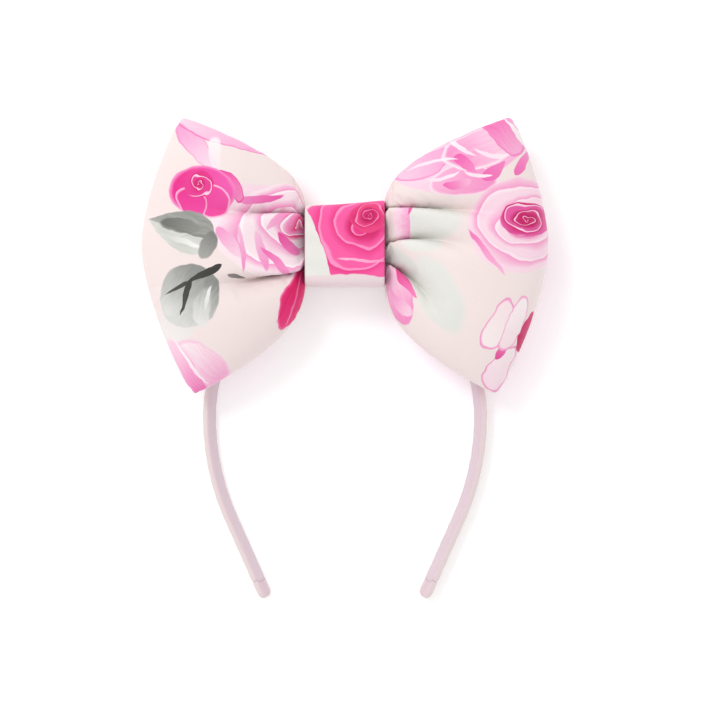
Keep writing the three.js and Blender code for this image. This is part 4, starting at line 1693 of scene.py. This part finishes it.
@dataclass
class Bow:
    """Both loops of the bow, their wadding and the thread wound round the waist."""

    left_folds: tuple[Fold, ...] = (
        Fold(start=-9.0, end=-19.5, reach=66, depth=9.5, lap=-3.2, arch=-0.4),
        Fold(start=12.0, end=14.8, reach=72, depth=8.5, lap=2.8, arch=0.4),
    )
    right_folds: tuple[Fold, ...] = (
        Fold(start=-9.0, end=-30.0, reach=46, depth=8.0, lap=2.8, arch=2.6),
        Fold(start=-0.9, end=-6.0, reach=64, depth=7.0, lap=2.6, arch=5.0),
        Fold(start=15.1, end=11.4, reach=80, depth=8.0, lap=2.6, arch=1.8),
    )
    winding_turns: int = 8
    turn_steps: int = 40  # points in one turn of the winding
    thread: float = 0.45

    def loop(self, side: Side, material: bpy.types.Material) -> bpy.types.Object:
        """Builds one printed loop.

        Args:
            side: Which loop.
            material: Its print.

        Returns:
            The piece.
        """
        if side is Side.LEFT:
            loop = BowLoop(side, self.left_folds)
        else:
            loop = BowLoop(
                side, self.right_folds, half=92.4, top_corner=(75.4, 58.4), bottom_corner=(68.8, 67.4),
            )
        piece = loop.build(f"bow_loop_{side.word}", material, Swelling())
        fasten(piece, "root", Slot.BOW, "bow_front_panel", "bow_back_panel")
        return piece

    def wadding(self, side: Side, material: bpy.types.Material) -> bpy.types.Object:
        """Builds the pad of fibre inside a loop.

        Args:
            side: Which loop.
            material: The fibre's finish.

        Returns:
            The piece.
        """
        pad = BowLoop(
            side, (), half=82.0, top_corner=(66.0, 46.0), bottom_corner=(62.0, 54.0), start=27.0, neck=34.0,
            neck_half=8.0, waist_half=8.0, front_depth=12.0, back_depth=5.0, waist_front=2.0, waist_back=3.0,
            stations=20, rows=24,
        )
        piece = pad.build(f"wadding_pad_{side.word}", material, None)
        fasten(piece, "root", Slot.WADDING, f"wadding_{side.word}")
        return piece

    def winding(self, material: bpy.types.Material) -> bpy.types.Object:
        """Builds the thread wound round the gathered waist.

        Args:
            material: The thread's finish.

        Returns:
            The piece.
        """
        low, high = millimetres("waist_binding")
        middle, half = (low + high) / 2, (high - low) / 2 - self.thread
        steps = self.turn_steps * self.winding_turns
        turn = np.linspace(0, math.tau * self.winding_turns, steps)
        corner = squared(turn)
        path = np.stack([
            np.linspace(-half[0], half[0], steps),
            half[1] * np.cos(turn) * corner + 0.15 * np.sin(turn * 0.37),
            half[2] * np.sin(turn) * corner,
        ], axis=1) + np.array([0.0, middle[1], middle[2]])
        points, faces = tube(path, self.thread)
        piece = make_piece("waist_winding", points, faces, unwound(faces, 0.8, 0.35), material)
        return fasten(piece, "root", Slot.THREAD, "waist_binding")

    def dress(
        self,
        prints: dict[Side, bpy.types.Material],
        fibre: bpy.types.Material,
        thread: bpy.types.Material,
    ) -> list[bpy.types.Object]:
        """Builds every piece of the bow.

        Args:
            prints: The print of each loop.
            fibre: Finish of the wadding.
            thread: Finish of the winding.

        Returns:
            The pieces.
        """
        pieces = [self.winding(thread)]
        for side in Side:
            pieces += [self.loop(side, prints[side]), self.wadding(side, fibre)]
        return pieces


# ---------------------------------------------------------------- knot


@dataclass
class Knot:
    """The wrap that holds the bow to the crown, with its pad and its closing stitches."""

    wall: float = 1.5
    rounding: float = 5.5
    slant: float = 1.3  # how much higher the right end of the wrap's top edge is
    crown: float = 0.9  # how far its faces swell between the edges
    seat: float = 0.25  # how far its faces sink at the side edges
    stations: int = 40  # points across the wrap
    around: int = 112  # points round it
    pad_stations: int = 24
    pad_around: int = 48
    stitches: int = 9
    stitch_steps: int = 12
    stitch_stand_off: float = 0.95  # how far past their box, towards the crown, the stitches' ends lie
    stitch_bow: float = 0.45  # how far their middles bow out again, towards the tips
    thread: float = 0.3

    def loop(self, half: float, low: float, high: float, rounding: float, count: int) -> Grid:
        """Goes round a rectangle with round corners, from the middle of its lower side.

        Args:
            half: Half its width.
            low: Its lower side.
            high: Its upper side.
            rounding: The radius of its corners.
            count: How many points are wanted.

        Returns:
            The points, evenly apart.
        """
        corners = (
            (half - rounding, low + rounding, -90), (half - rounding, high - rounding, 0),
            (rounding - half, high - rounding, 90), (rounding - half, low + rounding, 180),
        )
        outline = [(0.0, low)]
        for y, z, start in corners:
            angles = np.radians(start + np.linspace(0, 90, 9))
            outline += [(y + rounding * math.cos(a), z + rounding * math.sin(a)) for a in angles]
        outline.append((0.0, low))
        drawn = np.array(outline)
        run = np.concatenate([[0], np.cumsum(np.linalg.norm(np.diff(drawn, axis=0), axis=1))])
        places = np.linspace(0, run[-1], count, endpoint=False)
        return np.stack([np.interp(places, run, drawn[:, axis]) for axis in (0, 1)], axis=1)

    def wrap(self, material: bpy.types.Material) -> bpy.types.Object:
        """Builds the printed sleeve, with rolled edges and faces that swell.

        Args:
            material: Its print.

        Returns:
            The piece.
        """
        low, high = millimetres("knot_wrap")
        middle_y = (low[1] + high[1]) / 2
        half_y, half_x = (high[1] - low[1]) / 2, (high[0] - low[0]) / 2
        around = self.around
        ring = self.loop(half_y, low[2], high[2], self.rounding, around)
        ahead = np.roll(ring, -1, axis=0) - np.roll(ring, 1, axis=0)
        ahead /= np.linalg.norm(ahead, axis=1, keepdims=True)
        outward = np.stack([ahead[:, 1], -ahead[:, 0]], axis=1)
        roll = self.wall / 2
        across = [(x, 0.0) for x in np.linspace(-half_x + roll, half_x - roll, self.stations)]
        bend = [math.radians(a) for a in (-60, -30, 0, 30, 60)]
        right = [(half_x - roll + roll * math.cos(a), -roll - roll * math.sin(a)) for a in bend]
        back = [(x, -self.wall) for x, _ in across[::-1]]
        left = [(-x, depth) for x, depth in right[::-1]]
        section = across + right + back + left
        girth = np.concatenate([[0], np.cumsum(np.linalg.norm(np.diff(ring, axis=0), axis=1))])
        front = girth[around // 2]
        points, flat = [], []
        for x, depth in section:
            share = x / half_x
            swell = self.crown * (1 - share ** 4) - self.seat
            for step, ((y, z), normal) in enumerate(zip(ring, outward)):
                facing = max(0.0, normal[1]) ** 2
                soft = 0.28 * math.sin(0.55 * y + 1.9 * share) * facing * (1 - 0.4 * share)
                above = min(1.0, max(0.0, (z - 7.0) / 3.0))
                raised = depth + above * (swell * (0.3 + 0.7 * facing) + soft + 0.1) - 0.05
                top = above * (self.slant * share + 0.5 * share ** 2) if y > 0 else 0.0
                raised_y = middle_y + y + top * y / half_y + raised * normal[0]
                points.append((x, raised_y, z + raised * normal[1]))
                flat.append((x, front - girth[step]))
        faces = quads(len(section), around, wrap_rows=True, wrap_columns=True)
        length = girth[-1] + girth[1]
        cloth = []
        for face in faces:
            seam = {0, around - 1} <= {index % around for index in face}
            cloth.append([
                (flat[index][0], flat[index][1] - (length if seam and index % around == 0 else 0.0))
                for index in face
            ])
        faces = [face[::-1] for face in faces]
        cloth = [corners[::-1] for corners in cloth]
        piece = make_piece("knot_sleeve", points, faces, cloth, material)
        fasten(refine(piece), "root", Slot.KNOT, "knot_wrap")
        flat_size = (2 * half_x * MM, length * MM)
        return piece

    def pad(self, material: bpy.types.Material) -> bpy.types.Object:
        """Builds the pad under the front of the wrap.

        Args:
            material: The fibre's finish.

        Returns:
            The piece.
        """
        low, high = millimetres("knot_padding")
        middle, half = (low + high) / 2, (high - low) / 2
        stations, around = self.pad_stations, self.pad_around
        points = []
        for x in np.linspace(-1, 1, stations):
            round_end = max(0.08, (1 - abs(x) ** 6)) ** 0.4
            for step in range(around):
                angle = math.tau * step / around
                corner = squared(angle)
                lump = 1 + 0.03 * math.sin(7 * x + 3 * angle)
                points.append((
                    middle[0] + half[0] * x,
                    middle[1] + half[1] * math.cos(angle) * corner * round_end * lump,
                    middle[2] + half[2] * math.sin(angle) * corner * round_end * 0.9,
                ))
        faces = quads(stations, around, wrap_columns=True)
        faces.append(tuple(range(around))[::-1])
        faces.append(tuple((stations - 1) * around + step for step in range(around)))
        flat = [[(points[index][0], points[index][1]) for index in face] for face in faces]
        faces = [face[::-1] for face in faces]
        flat = [corners[::-1] for corners in flat]
        piece = make_piece("knot_pad", points, faces, flat, material)
        fasten(refine(piece), "root", Slot.WADDING, "knot_padding")
        return piece

    def closing(self, material: bpy.types.Material) -> bpy.types.Object:
        """Builds the slanting stitches over the wrap's closing edge.

        Args:
            material: The thread's finish.

        Returns:
            The piece.
        """
        low, high = millimetres("knot_closing_stitch")
        points, faces = np.zeros((0, 3)), []
        pitch = (high[0] - low[0]) / self.stitches
        for stitch in range(self.stitches):
            start = low[0] + pitch * (stitch + 0.25)
            share = np.linspace(0, 1, self.stitch_steps)[:, None]
            bow = np.sin(share * math.pi)
            path = np.concatenate([
                start + 0.5 * pitch * share,
                high[1] + self.stitch_stand_off - self.stitch_bow * bow,
                low[2] + self.thread + (high[2] - low[2] - 2 * self.thread) * share,
            ], axis=1)
            ring, sides = tube(path, self.thread)
            faces += [tuple(index + len(points) for index in face) for face in sides]
            points = np.concatenate([points, ring])
        piece = make_piece("closing_stitches", points, faces, unwound(faces, 0.5, 0.25), material)
        return fasten(piece, "root", Slot.THREAD, "knot_closing_stitch")

    def dress(
        self,
        cloth: bpy.types.Material,
        fibre: bpy.types.Material,
        thread: bpy.types.Material,
    ) -> list[bpy.types.Object]:
        """Builds every piece of the knot.

        Args:
            cloth: The wrap's print.
            fibre: Finish of the pad.
            thread: Finish of the stitches.

        Returns:
            The pieces.
        """
        return [self.pad(fibre), self.wrap(cloth), self.closing(thread)]


# ---------------------------------------------------------------- studio


@dataclass(frozen=True)
class Studio:
    """A plain pale floor, soft light from the upper left and the camera above."""

    camera_place: tuple[float, float, float] = (0.0068, 0.0002, 1.5)
    lens: float = 165.0
    sky: float = 0.96
    key_power: float = 11.0
    key_size: float = 0.6
    floor_glow: float = 0.12  # a lit table under the white sheet
    key_place: tuple[float, float, float] = (-0.8, 0.9, 1.6)
    floor_half: float = 4.0

    def build(self) -> None:
        """Makes the camera, the lights and the floor."""
        scene = bpy.context.scene
        camera = bpy.data.objects.new("camera", bpy.data.cameras.new("camera"))
        camera.data.lens = self.lens
        camera.location = self.camera_place
        scene.collection.objects.link(camera)
        scene.camera = camera
        scene.view_settings.view_transform = "Standard"
        world = bpy.data.worlds.new("white room")
        world.use_nodes = True
        world.node_tree.nodes["Background"].inputs["Color"].default_value = (1.0, 1.0, 1.0, 1.0)
        world.node_tree.nodes["Background"].inputs["Strength"].default_value = self.sky
        scene.world = world
        light = bpy.data.lights.new("window", "AREA")
        light.energy = self.key_power
        light.size = self.key_size
        key = bpy.data.objects.new("window", light)
        key.location = self.key_place
        key.rotation_mode = "QUATERNION"
        key.rotation_quaternion = (-Vector(self.key_place)).to_track_quat("-Z", "Y")
        scene.collection.objects.link(key)
        self.floor()

    def floor(self) -> None:
        """Makes the white sheet that the headband lies on."""
        recipe = Recipe("white sheet", Gloss(roughness=0.9, shine=0.1))
        tone = recipe.noise(recipe.solid(30.0), 1.0, 3.0)
        recipe.paint(recipe.mix(tone, dye("#f8f8f8"), dye("#fbfbfb")))
        recipe.shader.inputs["Emission Color"].default_value = (1.0, 1.0, 1.0, 1.0)
        recipe.shader.inputs["Emission Strength"].default_value = self.floor_glow
        half = self.floor_half
        mesh = bpy.data.meshes.new("floor")
        corners = [(-half, -half, 0.0), (half, -half, 0.0), (half, half, 0.0), (-half, half, 0.0)]
        mesh.from_pydata(corners, [], [(0, 1, 2, 3)])
        mesh.materials.append(recipe.material)
        floor = bpy.data.objects.new("floor", mesh)
        bpy.context.scene.collection.objects.link(floor)


def main() -> None:
    """Builds the sub-assemblies in order and reports each piece."""
    logging.basicConfig(level=logging.INFO, format="%(message)s")
    Studio().build()
    satin = Satin("pale satin").material()
    ribbon = Ribbon("lilac ribbon").material()
    fibre = Fibre("polyester fibre").material()
    thread = Thread("sewing thread").material()
    prints = {Side.LEFT: LEFT_PRINT.material(), Side.RIGHT: RIGHT_PRINT.material()}
    pieces = Band().dress(satin, ribbon)
    pieces += Bow().dress(prints, fibre, thread)
    pieces += Knot().dress(KNOT_PRINT.material(), fibre, thread)
    finish_nodes("core", Plastic("core plastic").material())
    finish_nodes("glue", Glue("set glue").material())
    for piece in pieces:
        logging.info("%s: %d faces", piece.name, len(piece.data.polygons))


if __name__ == "__main__":
    main()
